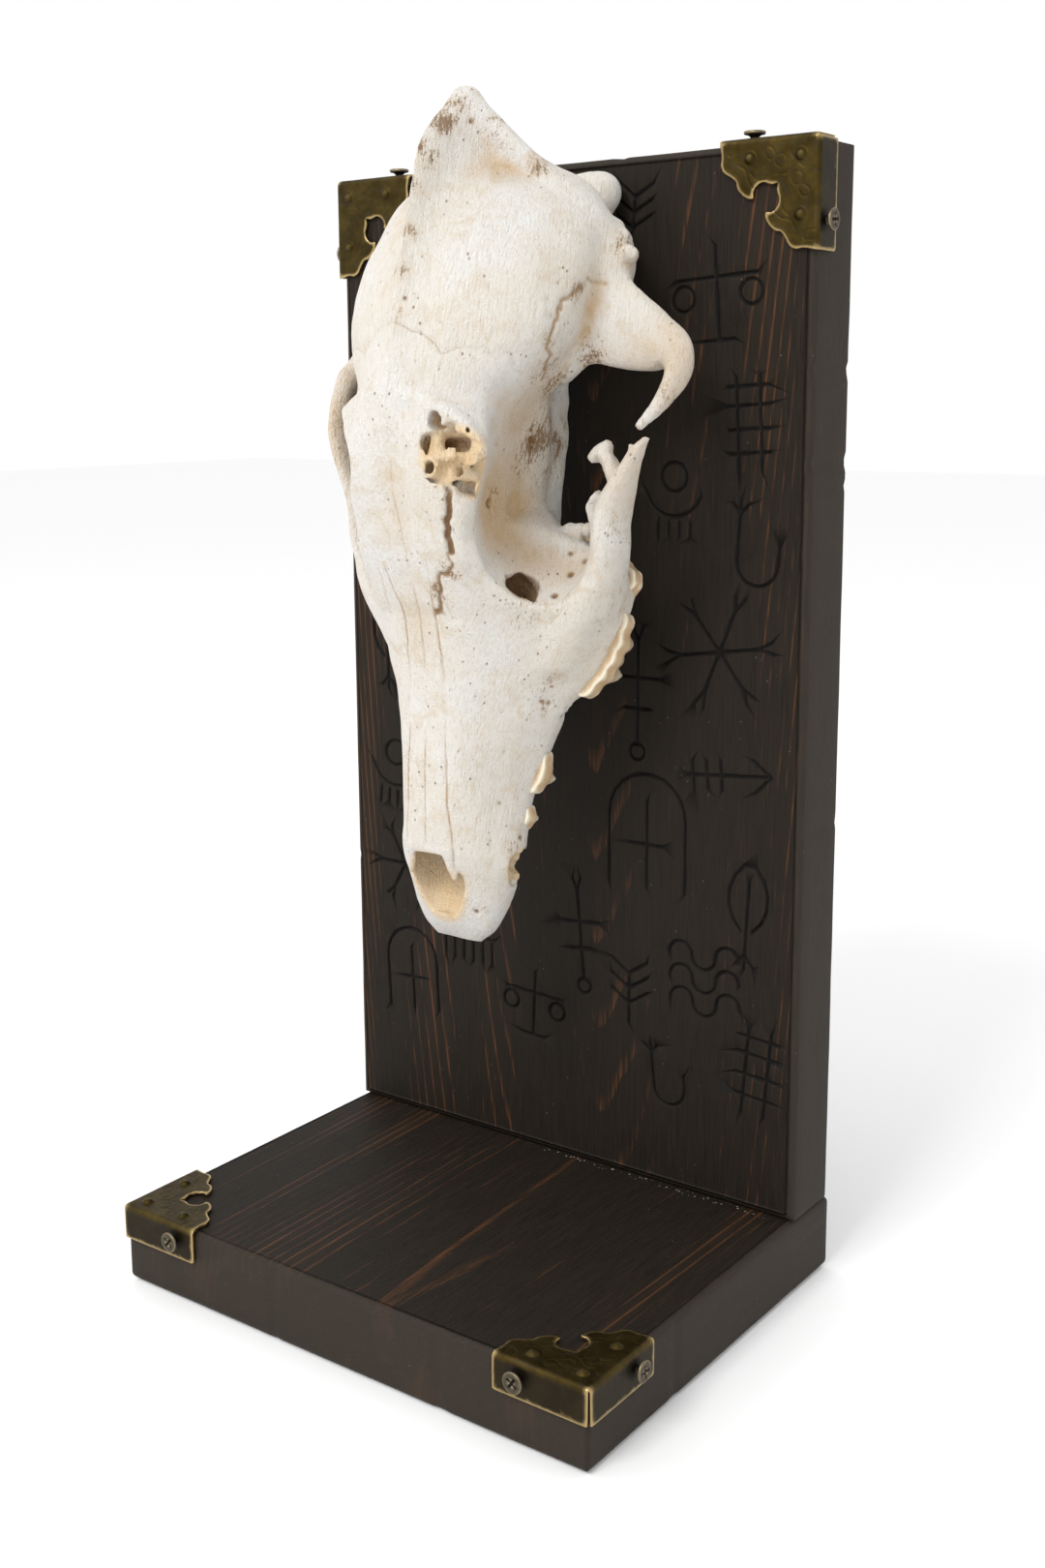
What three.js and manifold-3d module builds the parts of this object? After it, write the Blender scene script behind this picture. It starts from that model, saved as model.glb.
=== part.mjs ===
// Coyote skull fixed nose down on an L-shaped display stand of dark stained board,
// with antique brass box corners and their screws.
// Millimetres, +Z up, the front faces -Y. The origin is the centre of the base board's underside.
import * as THREE from "three";
import { mergeVertices } from "three/addons/utils/BufferGeometryUtils.js";
import Module from "manifold-3d";

const wasm = await Module();
wasm.setup();

// Driving dimensions of the stand, cut from dressed one-by-six board
const BOARD_WIDTH = 140;
const BOARD_THICKNESS = 19.5;
const BASE_DEPTH = 110;
const BACK_HEIGHT = 257;
const EASED_EDGE = 1.8;
const FIT_GAP = 0.3; // air left between pieces that touch

// Driving dimensions of a brass box corner and its screws
const CORNER_ARM = 25.4;
const CORNER_FLANGE = 7.7;
const BRASS_SHEET = 0.8;
const SCREW_ALONG = 17.5; // screw position along a flange, from the corner
const SCREW_DOWN = 3.2; // and away from the face plate
const SCREW_HEAD_RADIUS = 2.5;
const SCREW_SHANK_RADIUS = 1.1;
const SCREW_PROUD = 2; // the screws are not driven home
const SCREW_DEPTH = 11;

// Driving dimensions of the skull's place on the back board
const SKULL_TILT = THREE.MathUtils.degToRad(15); // palate plane against the board
const NOSE_HEIGHT = 91; // front of the upper jaw above the table
const NOSE_STANDOFF = 41; // and out from the back board

const SKULL_SCREW_HEIGHT = 247; // screw through the back board into the base of the skull
const SKULL_SCREW_LENGTH = 50;
const SKULL_SCREW_RADIUS = 2.1;
const SKULL_SCREW_HEAD_RADIUS = 4.2;

const BACK_FACE_Y = BASE_DEPTH / 2 - BOARD_THICKNESS; // front face of the back board
const STAND_TOP = BOARD_THICKNESS + BACK_HEIGHT;

const boneMaterial = new THREE.MeshStandardMaterial({ color: 0xeee4d3, roughness: 0.72, metalness: 0 });
const enamelMaterial = new THREE.MeshStandardMaterial({ color: 0xe6d3ad, roughness: 0.35, metalness: 0 });
const woodMaterial = new THREE.MeshStandardMaterial({ color: 0x2b2522, roughness: 0.78, metalness: 0 });
const brassMaterial = new THREE.MeshStandardMaterial({ color: 0x7d6538, roughness: 0.42, metalness: 0.9 });
const screwMaterial = new THREE.MeshStandardMaterial({ color: 0x6e6048, roughness: 0.45, metalness: 0.9 });

const vec = (x, y, z) => new THREE.Vector3(x, y, z);

// Booleans

function solidOf(geometry) {
  const bare = geometry.clone();
  bare.deleteAttribute("normal");
  bare.deleteAttribute("uv");
  const merged = mergeVertices(bare, 1e-4);
  return new wasm.Manifold(
    new wasm.Mesh({
      numProp: 3,
      vertProperties: new Float32Array(merged.attributes.position.array),
      triVerts: new Uint32Array(merged.index.array),
    }),
  );
}

function geometryOf(solid) {
  const mesh = solid.getMesh();
  return new THREE.BufferGeometry()
    .setAttribute("position", new THREE.BufferAttribute(new Float32Array(mesh.vertProperties), 3))
    .setIndex(new THREE.BufferAttribute(new Uint32Array(mesh.triVerts), 1));
}

const joined = (solids) => solids.reduce((sum, solid) => sum.add(solid));
const without = (solid, cuts) => cuts.reduce((rest, cut) => rest.subtract(cut), solid);

function named(name, shape, material) {
  const mesh = new THREE.Mesh(shape.isBufferGeometry ? shape : geometryOf(shape), material);
  mesh.name = name;
  return mesh;
}

// Shapes

// A closed skin over rings of points, all rings with the same count, both ends capped by a fan.
function skin(rings) {
  const count = rings[0].length;
  const points = rings.flat();
  const faces = [];
  for (let r = 0; r + 1 < rings.length; r++)
    for (let i = 0; i < count; i++) {
      const a = r * count + i;
      const b = r * count + ((i + 1) % count);
      faces.push(a, b, b + count, a, b + count, a + count);
    }
  for (const [ring, start] of [[rings[0], 0], [rings.at(-1), (rings.length - 1) * count]]) {
    const centre = ring.reduce((sum, p) => sum.add(p), vec(0, 0, 0)).divideScalar(count);
    for (let i = 0; i < count; i++) {
      const pair = [start + i, start + ((i + 1) % count)];
      faces.push(points.length, ...(start ? pair : pair.reverse()));
    }
    points.push(centre);
  }
  const geometry = new THREE.BufferGeometry().setFromPoints(points).setIndex(faces);
  const solid = solidOf(geometry);
  if (solid.volume() > 0) return solid;
  for (let i = 0; i < faces.length; i += 3) [faces[i], faces[i + 1]] = [faces[i + 1], faces[i]];
  return solidOf(geometry.setIndex(faces));
}

const smooth = (points) => new THREE.CatmullRomCurve3(points, false, "centripetal");

// A symmetric body lofted over half outlines. A station is [s, [x, v], [x, v], ...] from the top of the
// midline round to the bottom of it. Every station has the same number of outline points.
function halfOutlineLoft(stations, rows, columns) {
  const lines = stations[0].slice(1).map((_, i) =>
    smooth(stations.map(([s, ...outline]) => vec(outline[i][0], s, outline[i][1]))),
  );
  const rings = [];
  for (let r = 0; r <= rows; r++) {
    const half = smooth(lines.map((line) => line.getPoint(r / rows))).getPoints(columns);
    const mirrored = half.slice(1, -1).reverse().map((p) => vec(-p.x, p.y, p.z));
    rings.push([...half, ...mirrored]);
  }
  return skin(rings);
}

// A bar of oval section along a path. A path point is [x, s, v, half width, half height].
function ovalBar(path, rows, sides, side = 1) {
  const line = smooth(path.map(([x, s, v]) => vec(side * x, s, v)));
  const sizes = smooth(path.map(([, , , width, height]) => vec(width, height, 0)));
  const rings = [];
  for (let r = 0; r <= rows; r++) {
    const at = line.getPoint(r / rows);
    const along = line.getTangent(r / rows);
    const across = along.clone().cross(vec(0, 0, 1)).normalize();
    const up = across.clone().cross(along);
    const size = sizes.getPoint(r / rows);
    rings.push(
      Array.from({ length: sides }, (_, i) => {
        const turn = (i / sides) * 2 * Math.PI;
        return at.clone()
          .addScaledVector(across, size.x * Math.cos(turn))
          .addScaledVector(up, size.y * Math.sin(turn));
      }),
    );
  }
  return skin(rings);
}

function ellipsoid(centre, radii, segments = 16) {
  const geometry = new THREE.SphereGeometry(1, segments, Math.round(segments * 0.6));
  return solidOf(geometry.scale(...radii).translate(...centre));
}

function box(size, centre) {
  return solidOf(new THREE.BoxGeometry(...size).translate(...centre));
}

// The skull, in its own axes: X to its left, Y (s) from the front of the jaw to the back of the head,
// Z (v) from the palate up

// Muzzle: nasal bones, upper jaw and palate
const MUZZLE = [
  [0, [0, 3.4], [2.2, 3.3], [4.2, 3], [5.6, 2.5], [6.4, 1.9],
    [6.6, 1.2], [6, 0.5], [4.4, -0.1], [2.2, -0.3], [0, -0.3]],
  [3, [0, 7], [2.6, 6.9], [5, 6.4], [7.2, 5.5], [8.9, 4.2],
    [9.8, 2.6], [9.8, 0.8], [8.6, -0.9], [4.4, -0.8], [0, -0.2]],
  [8, [0, 11.3], [2.8, 11.1], [5.6, 10.4], [8.4, 9], [10.6, 7],
    [12, 4.6], [12.4, 1.8], [11.2, -1], [6, -0.8], [0, 0.2]],
  [14, [0, 15.6], [3.2, 15.3], [6.4, 14.4], [9.4, 12.4], [11.8, 9.6],
    [13.8, 6.2], [14.4, 2.6], [13, -0.8], [7, -0.2], [0, 1]],
  [20, [0, 19.2], [3.8, 18.9], [7.4, 17.6], [10.6, 15], [13.2, 11.6],
    [15.4, 7.4], [15.8, 2.8], [14.2, -0.6], [8, 0.3], [0, 1.6]],
  [28, [0, 21.6], [4.2, 21.3], [7.8, 19.8], [10.6, 16.8], [13, 12.6],
    [15, 8], [15.6, 3], [14, -0.4], [8, 0.6], [0, 2]],
  [38, [0, 23.9], [4.6, 23.6], [8.2, 22], [10.8, 18.6], [13, 13.8],
    [15, 8.6], [16.2, 3.2], [14.8, -0.4], [9, 1], [0, 2.4]],
  [48, [0, 26.2], [5, 25.9], [8.8, 24.2], [12, 20.4], [15, 15],
    [17.4, 9.2], [19, 3.4], [17.4, -0.4], [10.5, 1.3], [0, 2.8]],
  [58, [0, 28.8], [5.4, 28.5], [9.8, 26.8], [14, 22.4], [18, 16.4],
    [21.2, 10], [23, 3.8], [21.2, -0.4], [13, 1.6], [0, 3.2]],
  [67, [0, 31.6], [5.8, 31.4], [10.6, 29.8], [15.8, 25], [20.8, 18.4],
    [24.8, 11.2], [28, 4], [26.6, -0.6], [15.5, 1.9], [0, 3.5]],
  [75, [0, 35.2], [6.4, 35.2], [11.8, 33.8], [17.2, 28.8], [23, 21.4],
    [28, 12.8], [31.2, 4.4], [30, -0.6], [17.5, 2.2], [0, 3.8]],
  [82, [0, 39.5], [7.2, 39.8], [13.6, 38], [19, 32.8], [26, 24.4],
    [31.4, 14.8], [33.2, 5.4], [32, -0.4], [18.5, 2.4], [0, 4]],
  [88, [0, 43.2], [8, 43.6], [15, 42], [19.6, 36], [26.6, 27],
    [33, 16.5], [33.8, 6.4], [32.2, -0.2], [18.5, 2.6], [0, 4.2]],
  [94, [0, 45], [7, 45], [13, 43], [16, 36], [21, 26],
    [30, 15.5], [30.6, 7.5], [28, 0.8], [18, 3], [0, 4.6]],
  [99, [0, 40], [5, 39], [9, 36], [11, 30], [14, 22], [20, 13], [21, 8], [19, 4], [12, 4.4], [0, 5.4]],
];

// Forehead, braincase and back of the head
const BRAINCASE = [
  [78, [0, 36], [6, 36.2], [11, 34.8], [13, 30], [12.5, 22], [11, 14], [7, 9], [0, 8]],
  [86, [0, 42.6], [7.5, 43.2], [15.2, 41.6], [15.6, 37], [13, 28], [12, 18], [9, 10], [0, 8]],
  [94, [0, 47.6], [8.5, 48.6], [17, 47], [17.6, 43], [13.4, 33], [12.2, 22], [10, 12], [0, 9]],
  [102, [0, 51.6], [9.2, 52.8], [18.6, 51], [20.6, 47.4], [15, 37], [12.6, 24], [10.6, 13], [0, 10]],
  [109, [0, 54.2], [9.6, 55], [19.6, 53], [23, 49.4], [17, 40], [13.4, 27], [11, 14], [0, 11]],
  [115, [0, 56], [8, 56], [17, 52.6], [20.5, 47.6], [17.4, 40], [14.4, 28], [11, 15], [0, 11.5]],
  [122, [0, 57.4], [5, 56.6], [12.5, 53], [17.4, 47], [18.2, 39], [16, 28], [11.5, 16], [0, 12]],
  [130, [0, 58], [4, 57.4], [12, 54.4], [20, 48], [23, 39], [20.6, 28], [14, 17], [0, 12.5]],
  [140, [0, 58], [5, 57.3], [14, 54], [23.4, 46.5], [27.4, 36.5], [25.8, 26], [17, 16.5], [0, 12.5]],
  [150, [0, 57], [5, 56.2], [14, 52.8], [24.2, 45], [29, 34.5], [28, 25], [19, 16], [0, 12.5]],
  [160, [0, 54.5], [5, 53.6], [13.5, 50], [23.6, 42], [29, 31.5], [28.6, 23.5], [20, 15.5], [0, 12.5]],
  [169, [0, 51.5], [5, 49.8], [12.5, 46], [22, 38.2], [27.6, 29], [27.6, 22.5], [19.5, 14.6], [0, 11.4]],
  [177, [0, 50], [4, 46], [9.5, 40], [16.5, 33.4], [21.5, 27.2], [21.5, 21], [15.5, 13.4], [0, 9.8]],
  [182, [0, 51], [2.4, 47.6], [5.6, 42.6], [9.6, 38], [11, 34], [9, 31], [5, 29], [0, 28.4]],
  [187, [0, 50], [1.6, 48], [3.4, 45.2], [5, 42.4], [5.2, 40.6], [4, 39], [2.2, 38.2], [0, 38]],
  [191, [0, 47.4], [0.8, 47.2], [1.6, 46.8], [2.2, 46.2], [2.2, 45.6], [1.6, 45], [0.8, 44.6], [0, 44.4]],
];

// Sagittal crest, a thin keel over the braincase
const CREST = [
  [114, [0, 56], [1, 55], [1.4, 53], [1.2, 50], [0, 49]],
  [122, [0, 58.3], [1.6, 57.2], [3.2, 54], [3, 48], [0, 46]],
  [132, [0, 59.4], [1.5, 58], [3.6, 54], [3.4, 46], [0, 44]],
  [145, [0, 60.2], [1.4, 58.6], [3.4, 54], [3.4, 44], [0, 42]],
  [158, [0, 60.3], [1.4, 58], [3.2, 51], [3.2, 42], [0, 40]],
  [168, [0, 60], [1.4, 57.4], [3, 49], [3, 42], [0, 40]],
  [175, [0, 59.4], [1.5, 56.6], [3, 49], [3, 42], [0, 40]],
  [182, [0, 56.4], [1.7, 54], [2.8, 49], [2.8, 44], [0, 42]],
  [188, [0, 51.4], [1.7, 50], [2.4, 48], [2.2, 45], [0, 43.6]],
  [192, [0, 47.2], [1, 46.8], [1.4, 46], [1, 45], [0, 44.6]],
];

// One side's bars and knobs, given for the skull's left
const NUCHAL_CREST = [
  [0, 190, 46, 2, 1.8], [6, 185.4, 42.4, 2, 2], [13, 179, 37, 2, 2.2],
  [20, 174, 31, 2.2, 2.4], [26, 169.5, 25, 2.6, 2.6], [30, 165.5, 18.5, 2.4, 2.4],
];
const CHEEK_BONE = [
  [22, 70, 10, 4, 5], [31, 81, 12.4, 4.2, 7], [36.6, 92, 14.4, 3.4, 6.6],
  [40.6, 102, 17.6, 2.8, 5], [43.6, 111, 21, 2.4, 4.2],
];
const CHEEK_BONE_WHOLE = [[45.4, 119, 22, 2.2, 3.8], [46.8, 128, 21, 2, 2.6], [47.4, 134, 18.6, 1.4, 1.4]];
const CHEEK_BONE_BROKEN = [[45.4, 116, 23, 1.2, 2.2], [47.2, 118.6, 24.2, 0.6, 0.9]];
const TEMPORAL_ARCH = [
  [23, 149, 21, 12, 4], [32, 145.5, 18.6, 9.6, 3.6], [39.6, 142.5, 15.8, 7.2, 3.4],
  [45.2, 140, 14.8, 4.8, 3.4], [48, 134.5, 17.2, 2.3, 3.7], [47.6, 127, 21.4, 1.5, 2.3],
  [45, 120.6, 24.8, 0.8, 1],
];
const PTERYGOID_PLATE = [
  [11.4, 92, 9, 2, 8], [10.2, 104, 9, 1.6, 9], [9.8, 115, 9.6, 1.6, 9.4],
  [10, 125, 10.6, 1.7, 9], [11, 134, 12.4, 2, 7], [13, 142, 13, 2, 5],
];
const PAROCCIPITAL = [[23, 165, 17, 4, 3], [22.6, 168, 11, 3.2, 2.6], [21, 169.6, 5.4, 1.5, 1.4]];

const ORBIT = { centre: [36, 101, 31], radii: [23, 27, 19] };
const BULLA = { centre: [15.5, 152, 7.6], radii: [8.8, 11.5, 8.6] };
const CONDYLE = { centre: [12.6, 177.6, 12.2], radii: [7.2, 7, 5.8] };
const MASTOID = { centre: [24, 160, 18], radii: [8.6, 9.5, 8] };

const NASAL_CAVITY = [
  [6, [0, 20], [3, 19], [5, 16], [5.2, 12.5], [3.6, 9], [0, 7.6]],
  [14, [0, 19.6], [4, 18.8], [6.8, 15.6], [7.6, 11.5], [5.4, 7], [0, 5.2]],
  [22, [0, 18.6], [4.4, 17.8], [7.4, 14.6], [8.4, 10.6], [6, 6.4], [0, 4.8]],
  [34, [0, 18], [3.6, 17], [6, 14], [6.6, 11], [4.8, 8], [0, 7]],
  [42, [0, 14.4], [1, 14], [1.6, 13.4], [1.6, 12.6], [1, 12], [0, 11.6]],
];
const BRAIN_CAVITY = { centre: [0, 168, 18.5], radii: [8.6, 26, 7.2] };
const CHOANA = { centre: [0, 106, 6.6], radii: [7.6, 16, 5.4] };

// Damage on the skull's left: a hole in the wall of the eye socket, the broken brow
const SOCKET_HOLE = { centre: [21, 82.5, 25], radii: [4.4, 6, 3.8] };
const BROKEN_BROW = { centre: [19, 107, 53.4], radii: [9, 8.4, 4.4] };

// Teeth of the skull's left, by their middle on the jaw's edge. reach is half the length along the jaw,
// wide half the width, crowns the heights below the jaw's edge at even steps from front to back
const ROOT_DEPTH = 4;
const TEETH = [
  { name: "premolar_1", x: 13.8, s: 31.5, turn: 4, reach: 2.6, wide: 1.7, crowns: [1.2, 3.6, 1.6] },
  { name: "premolar_2", x: 16, s: 42.6, turn: 10, reach: 4.8, wide: 2, crowns: [1.6, 5.6, 3, 1.4] },
  { name: "carnassial", x: 28, s: 72, turn: 22, reach: 10, wide: 3.8, crowns: [3.4, 9.6, 6.2, 7.4, 3] },
  { name: "molar_1", x: 27.2, s: 89, turn: -12, reach: 5.4, wide: 6.6, crowns: [3.4, 5.6, 5.2, 3.2] },
  { name: "molar_2", x: 22.6, s: 98.2, turn: -6, reach: 3, wide: 4.6, crowns: [2.2, 3.4, 2] },
];

// A tooth: crown and root as one ridge, or its socket when grow is more than nothing.
function toothSolid({ x, s, turn, reach, wide, crowns }, side, grow) {
  const angle = THREE.MathUtils.degToRad(turn);
  const rings = crowns.map((crown, i) => {
    const share = (i / (crowns.length - 1)) * 2 - 1;
    const along = share * (reach + grow);
    const across = wide * Math.sqrt(1 - 0.62 * share * share) + grow;
    const outline = [
      [-0.75, ROOT_DEPTH + grow], [0.75, ROOT_DEPTH + grow], [1, 0], [0.86, -0.45 * crown],
      [0.3, -crown - grow], [-0.3, -crown - grow], [-0.86, -0.45 * crown], [-1, 0],
    ];
    return outline.map(([a, v]) =>
      vec(
        side * (x + along * Math.sin(angle) + a * across * Math.cos(angle)),
        s + along * Math.cos(angle) - a * across * Math.sin(angle),
        v,
      ),
    );
  });
  return skin(rings);
}

function skullSide(side) {
  const left = side > 0;
  const at = ({ centre: [x, s, v], radii }, segments) => ellipsoid([side * x, s, v], radii, segments);
  const cheek = [...CHEEK_BONE, ...(left ? CHEEK_BONE_BROKEN : CHEEK_BONE_WHOLE)];
  return {
    bones: [
      ovalBar(NUCHAL_CREST, 6, 6, side),
      ovalBar(cheek, left ? 8 : 12, 8, side),
      ovalBar(TEMPORAL_ARCH, 10, 8, side),
      ovalBar(PTERYGOID_PLATE, 4, 6, side),
      ovalBar(PAROCCIPITAL, 3, 6, side),
      at(BULLA, 10),
      at(CONDYLE, 8),
      at(MASTOID, 8),
    ],
    orbit: at(ORBIT, 15),
    sockets: TEETH.map((tooth) => toothSolid(tooth, side, FIT_GAP)),
  };
}

function skullSolid() {
  const sides = [skullSide(1), skullSide(-1)];
  const head = joined([
    halfOutlineLoft(MUZZLE, 19, 9),
    halfOutlineLoft(BRAINCASE, 19, 9),
    halfOutlineLoft(CREST, 12, 5),
  ]);
  const damage = [SOCKET_HOLE, BROKEN_BROW].map(({ centre, radii }) => ellipsoid(centre, radii, 10));
  const openings = [
    halfOutlineLoft(NASAL_CAVITY, 6, 6),
    ellipsoid(BRAIN_CAVITY.centre, BRAIN_CAVITY.radii, 10),
    ellipsoid(CHOANA.centre, CHOANA.radii, 10),
  ];
  const hollowed = without(head, [...sides.map((half) => half.orbit), ...damage]);
  const whole = joined([hollowed, ...sides.flatMap((half) => half.bones)]);
  return without(whole, [...openings, ...sides.flatMap((half) => half.sockets)]);
}

function skullPlacement() {
  const turn = new THREE.Matrix4().makeRotationX(Math.PI / 2 - SKULL_TILT);
  return turn.setPosition(0, BACK_FACE_Y - NOSE_STANDOFF, NOSE_HEIGHT);
}

// Stand

// A board with eased long edges, lying on its face from z = 0 up.
function easedBoard(width, height) {
  const outline = new THREE.Shape();
  outline.moveTo(-width / 2, -height / 2);
  outline.lineTo(width / 2, -height / 2);
  outline.lineTo(width / 2, height / 2);
  outline.lineTo(-width / 2, height / 2);
  const geometry = new THREE.ExtrudeGeometry(outline, {
    depth: BOARD_THICKNESS - 2 * EASED_EDGE,
    bevelThickness: EASED_EDGE,
    bevelSize: EASED_EDGE,
    bevelOffset: -EASED_EDGE,
    bevelSegments: 2,
  });
  return geometry.translate(0, 0, EASED_EDGE);
}

function turned(profile, segments) {
  const points = profile.map(([radius, height]) => new THREE.Vector2(radius, height));
  return new THREE.LatheGeometry(points, segments);
}

// A pin standing along Y, for screw holes.
const pin = (radius, from, to) => turned([[0, from], [radius, from], [radius, to], [0, to]], 10);

// The screw that holds the skull, along Y, its head sunk flush with the back of the board.
// With some growth it is the hole for the screw.
function skullScrew(grow) {
  const radius = SKULL_SCREW_RADIUS + grow;
  const head = SKULL_SCREW_HEAD_RADIUS + grow;
  const rim = BASE_DEPTH / 2 - FIT_GAP - 1 - grow;
  const neck = rim - SKULL_SCREW_HEAD_RADIUS + SKULL_SCREW_RADIUS;
  const back = BASE_DEPTH / 2 - FIT_GAP + 4 * grow;
  const tip = BASE_DEPTH / 2 - SKULL_SCREW_LENGTH - grow;
  const profile = [[0, tip], [radius, tip + 5], [radius, neck], [head, rim], [head, back], [0, back]];
  return solidOf(turned(profile, 10).translate(0, 0, SKULL_SCREW_HEIGHT));
}

// Brass corner, in its own axes: the wood's corner at the origin, the arms along +X and +Y,
// the face plate on top
const CORNER_HALF_OUTLINE = [
  [25.4, 0], [24.7, 4.4], [24.2, 7.1], [21.4, 9], [20.6, 10.9], [18.6, 12.9], [16.6, 13.3],
  [16.2, 11.6], [14, 9.9], [10.3, 10.3],
];
const CORNER_BUMPS = [[4.6, 4.6], [17.4, 4.4], [4.4, 17.4]];

function cornerSolid() {
  const edge = -FIT_GAP - BRASS_SHEET; // outside of the flanges
  const top = FIT_GAP + BRASS_SHEET;
  const other = CORNER_HALF_OUTLINE.slice(0, -1).reverse().map(([a, b]) => [b, a]);
  const outline = new THREE.Shape();
  outline.moveTo(0, 0);
  for (const [a, b] of [...CORNER_HALF_OUTLINE, ...other]) outline.lineTo(a, b);
  const plate = new THREE.ExtrudeGeometry(outline, { depth: BRASS_SHEET, bevelEnabled: false });
  const reach = CORNER_ARM - 1.2; // the flanges stop short of each other, leaving an open seam
  const drop = CORNER_FLANGE + top;
  const parts = [
    solidOf(plate.translate(edge, edge, FIT_GAP)),
    box([reach, BRASS_SHEET, drop], [edge + CORNER_ARM - reach / 2, edge + BRASS_SHEET / 2, top - drop / 2]),
    box([BRASS_SHEET, reach, drop], [edge + BRASS_SHEET / 2, edge + CORNER_ARM - reach / 2, top - drop / 2]),
    ...CORNER_BUMPS.map(([a, b]) => ellipsoid([a + edge, b + edge, top - 0.1], [1.7, 1.7, 0.9], 6)),
  ];
  const hole = pin(SCREW_SHANK_RADIUS + FIT_GAP, -2, 2);
  const holes = [0, 1].map((flange) => solidOf(screwPlaced(hole, flange)));
  return without(joined(parts), holes);
}

// Puts a piece made along +Y on one of the corner's flanges, its outside at y = 0 looking out along +Y.
function screwPlaced(geometry, flange) {
  const outside = -FIT_GAP - BRASS_SHEET;
  const turn = new THREE.Matrix4();
  if (flange === 0) turn.makeRotationZ(Math.PI).setPosition(SCREW_ALONG, outside, -SCREW_DOWN);
  else turn.makeRotationZ(Math.PI / 2).setPosition(outside, SCREW_ALONG, -SCREW_DOWN);
  return geometry.clone().applyMatrix4(turn);
}

// A half-driven flat head screw with a cross recess, along +Y.
function screwGeometry() {
  const top = SCREW_PROUD;
  const profile = [
    [0, -SCREW_DEPTH], [SCREW_SHANK_RADIUS, 2 - SCREW_DEPTH], [SCREW_SHANK_RADIUS, top - 1.7],
    [SCREW_HEAD_RADIUS, top - 0.5], [SCREW_HEAD_RADIUS, top], [0, top],
  ];
  const slot = (size) => box(size, [0, top, 0]);
  return geometryOf(without(solidOf(turned(profile, 10)), [slot([2.8, 1.2, 0.6]), slot([0.6, 1.2, 2.8])]));
}

const HALF = BOARD_WIDTH / 2;
const FRONT = -BASE_DEPTH / 2;
const CORNERS = [
  {
    name: "top_right",
    at: [HALF, BACK_FACE_Y, STAND_TOP],
    arms: [[-1, 0, 0], [0, 0, -1]],
    flanges: ["upper", "side"],
  },
  {
    name: "top_left",
    at: [-HALF, BACK_FACE_Y, STAND_TOP],
    arms: [[0, 0, -1], [1, 0, 0]],
    flanges: ["side", "upper"],
  },
  {
    name: "base_right",
    at: [HALF, FRONT, BOARD_THICKNESS],
    arms: [[0, 1, 0], [-1, 0, 0]],
    flanges: ["side", "front"],
  },
  {
    name: "base_left",
    at: [-HALF, FRONT, BOARD_THICKNESS],
    arms: [[1, 0, 0], [0, 1, 0]],
    flanges: ["front", "side"],
  },
];

function cornerPlacement({ at, arms }) {
  const [a, b] = arms.map((arm) => vec(...arm));
  return new THREE.Matrix4().makeBasis(a, b, a.clone().cross(b)).setPosition(...at);
}

function buildPart() {
  const part = new THREE.Group();
  const onBoard = skullPlacement();
  const put = (geometry, matrix) => geometry.clone().applyMatrix4(matrix);

  const skull = solidOf(put(geometryOf(skullSolid()), onBoard));
  part.add(named("skull", skull.subtract(skullScrew(FIT_GAP)), boneMaterial));
  for (const [label, side] of [["left", 1], ["right", -1]])
    for (const tooth of TEETH) {
      const geometry = put(geometryOf(toothSolid(tooth, side, 0)), onBoard);
      part.add(named(`${tooth.name}_${label}`, geometry, enamelMaterial));
    }
  part.add(named("skull_screw", skullScrew(0), screwMaterial));

  const corner = geometryOf(cornerSolid());
  const screw = screwGeometry();
  const hole = pin(SCREW_SHANK_RADIUS + FIT_GAP, -SCREW_DEPTH - 1, 3);
  const holes = [];
  for (const spec of CORNERS) {
    const matrix = cornerPlacement(spec);
    part.add(named(`corner_${spec.name}`, put(corner, matrix), brassMaterial));
    spec.flanges.forEach((flange, i) => {
      part.add(named(`screw_${spec.name}_${flange}`, put(screwPlaced(screw, i), matrix), screwMaterial));
      holes.push(solidOf(put(screwPlaced(hole, i), matrix)));
    });
  }

  const base = solidOf(easedBoard(BOARD_WIDTH, BASE_DEPTH));
  const upright = easedBoard(BOARD_WIDTH, BACK_HEIGHT).rotateX(Math.PI / 2);
  const back = solidOf(upright.translate(0, BASE_DEPTH / 2, BOARD_THICKNESS + BACK_HEIGHT / 2));
  part.add(named("base_board", without(base, holes.slice(4)), woodMaterial));
  part.add(named("back_board", without(back, [...holes.slice(0, 4), skullScrew(FIT_GAP)]), woodMaterial));
  return part;
}

export default buildPart();
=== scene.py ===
import math
import bpy
import numpy as np
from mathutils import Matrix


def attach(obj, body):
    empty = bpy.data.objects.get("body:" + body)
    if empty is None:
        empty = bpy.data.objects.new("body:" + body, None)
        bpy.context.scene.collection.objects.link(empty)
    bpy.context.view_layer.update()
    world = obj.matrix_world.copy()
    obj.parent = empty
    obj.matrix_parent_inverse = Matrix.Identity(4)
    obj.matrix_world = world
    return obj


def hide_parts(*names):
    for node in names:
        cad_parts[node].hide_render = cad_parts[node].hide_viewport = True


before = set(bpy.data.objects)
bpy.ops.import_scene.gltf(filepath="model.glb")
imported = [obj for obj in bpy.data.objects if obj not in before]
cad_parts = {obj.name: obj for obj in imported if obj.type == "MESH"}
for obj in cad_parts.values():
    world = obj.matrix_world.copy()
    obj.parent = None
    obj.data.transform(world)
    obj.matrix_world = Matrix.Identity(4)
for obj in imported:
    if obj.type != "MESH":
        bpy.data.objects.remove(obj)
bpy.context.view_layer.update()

import openvdb
from mathutils import Matrix, Vector
from mathutils.geometry import delaunay_2d_cdt

mm = 0.001
rng = np.random.default_rng(41)
print("frame loaded")

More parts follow.
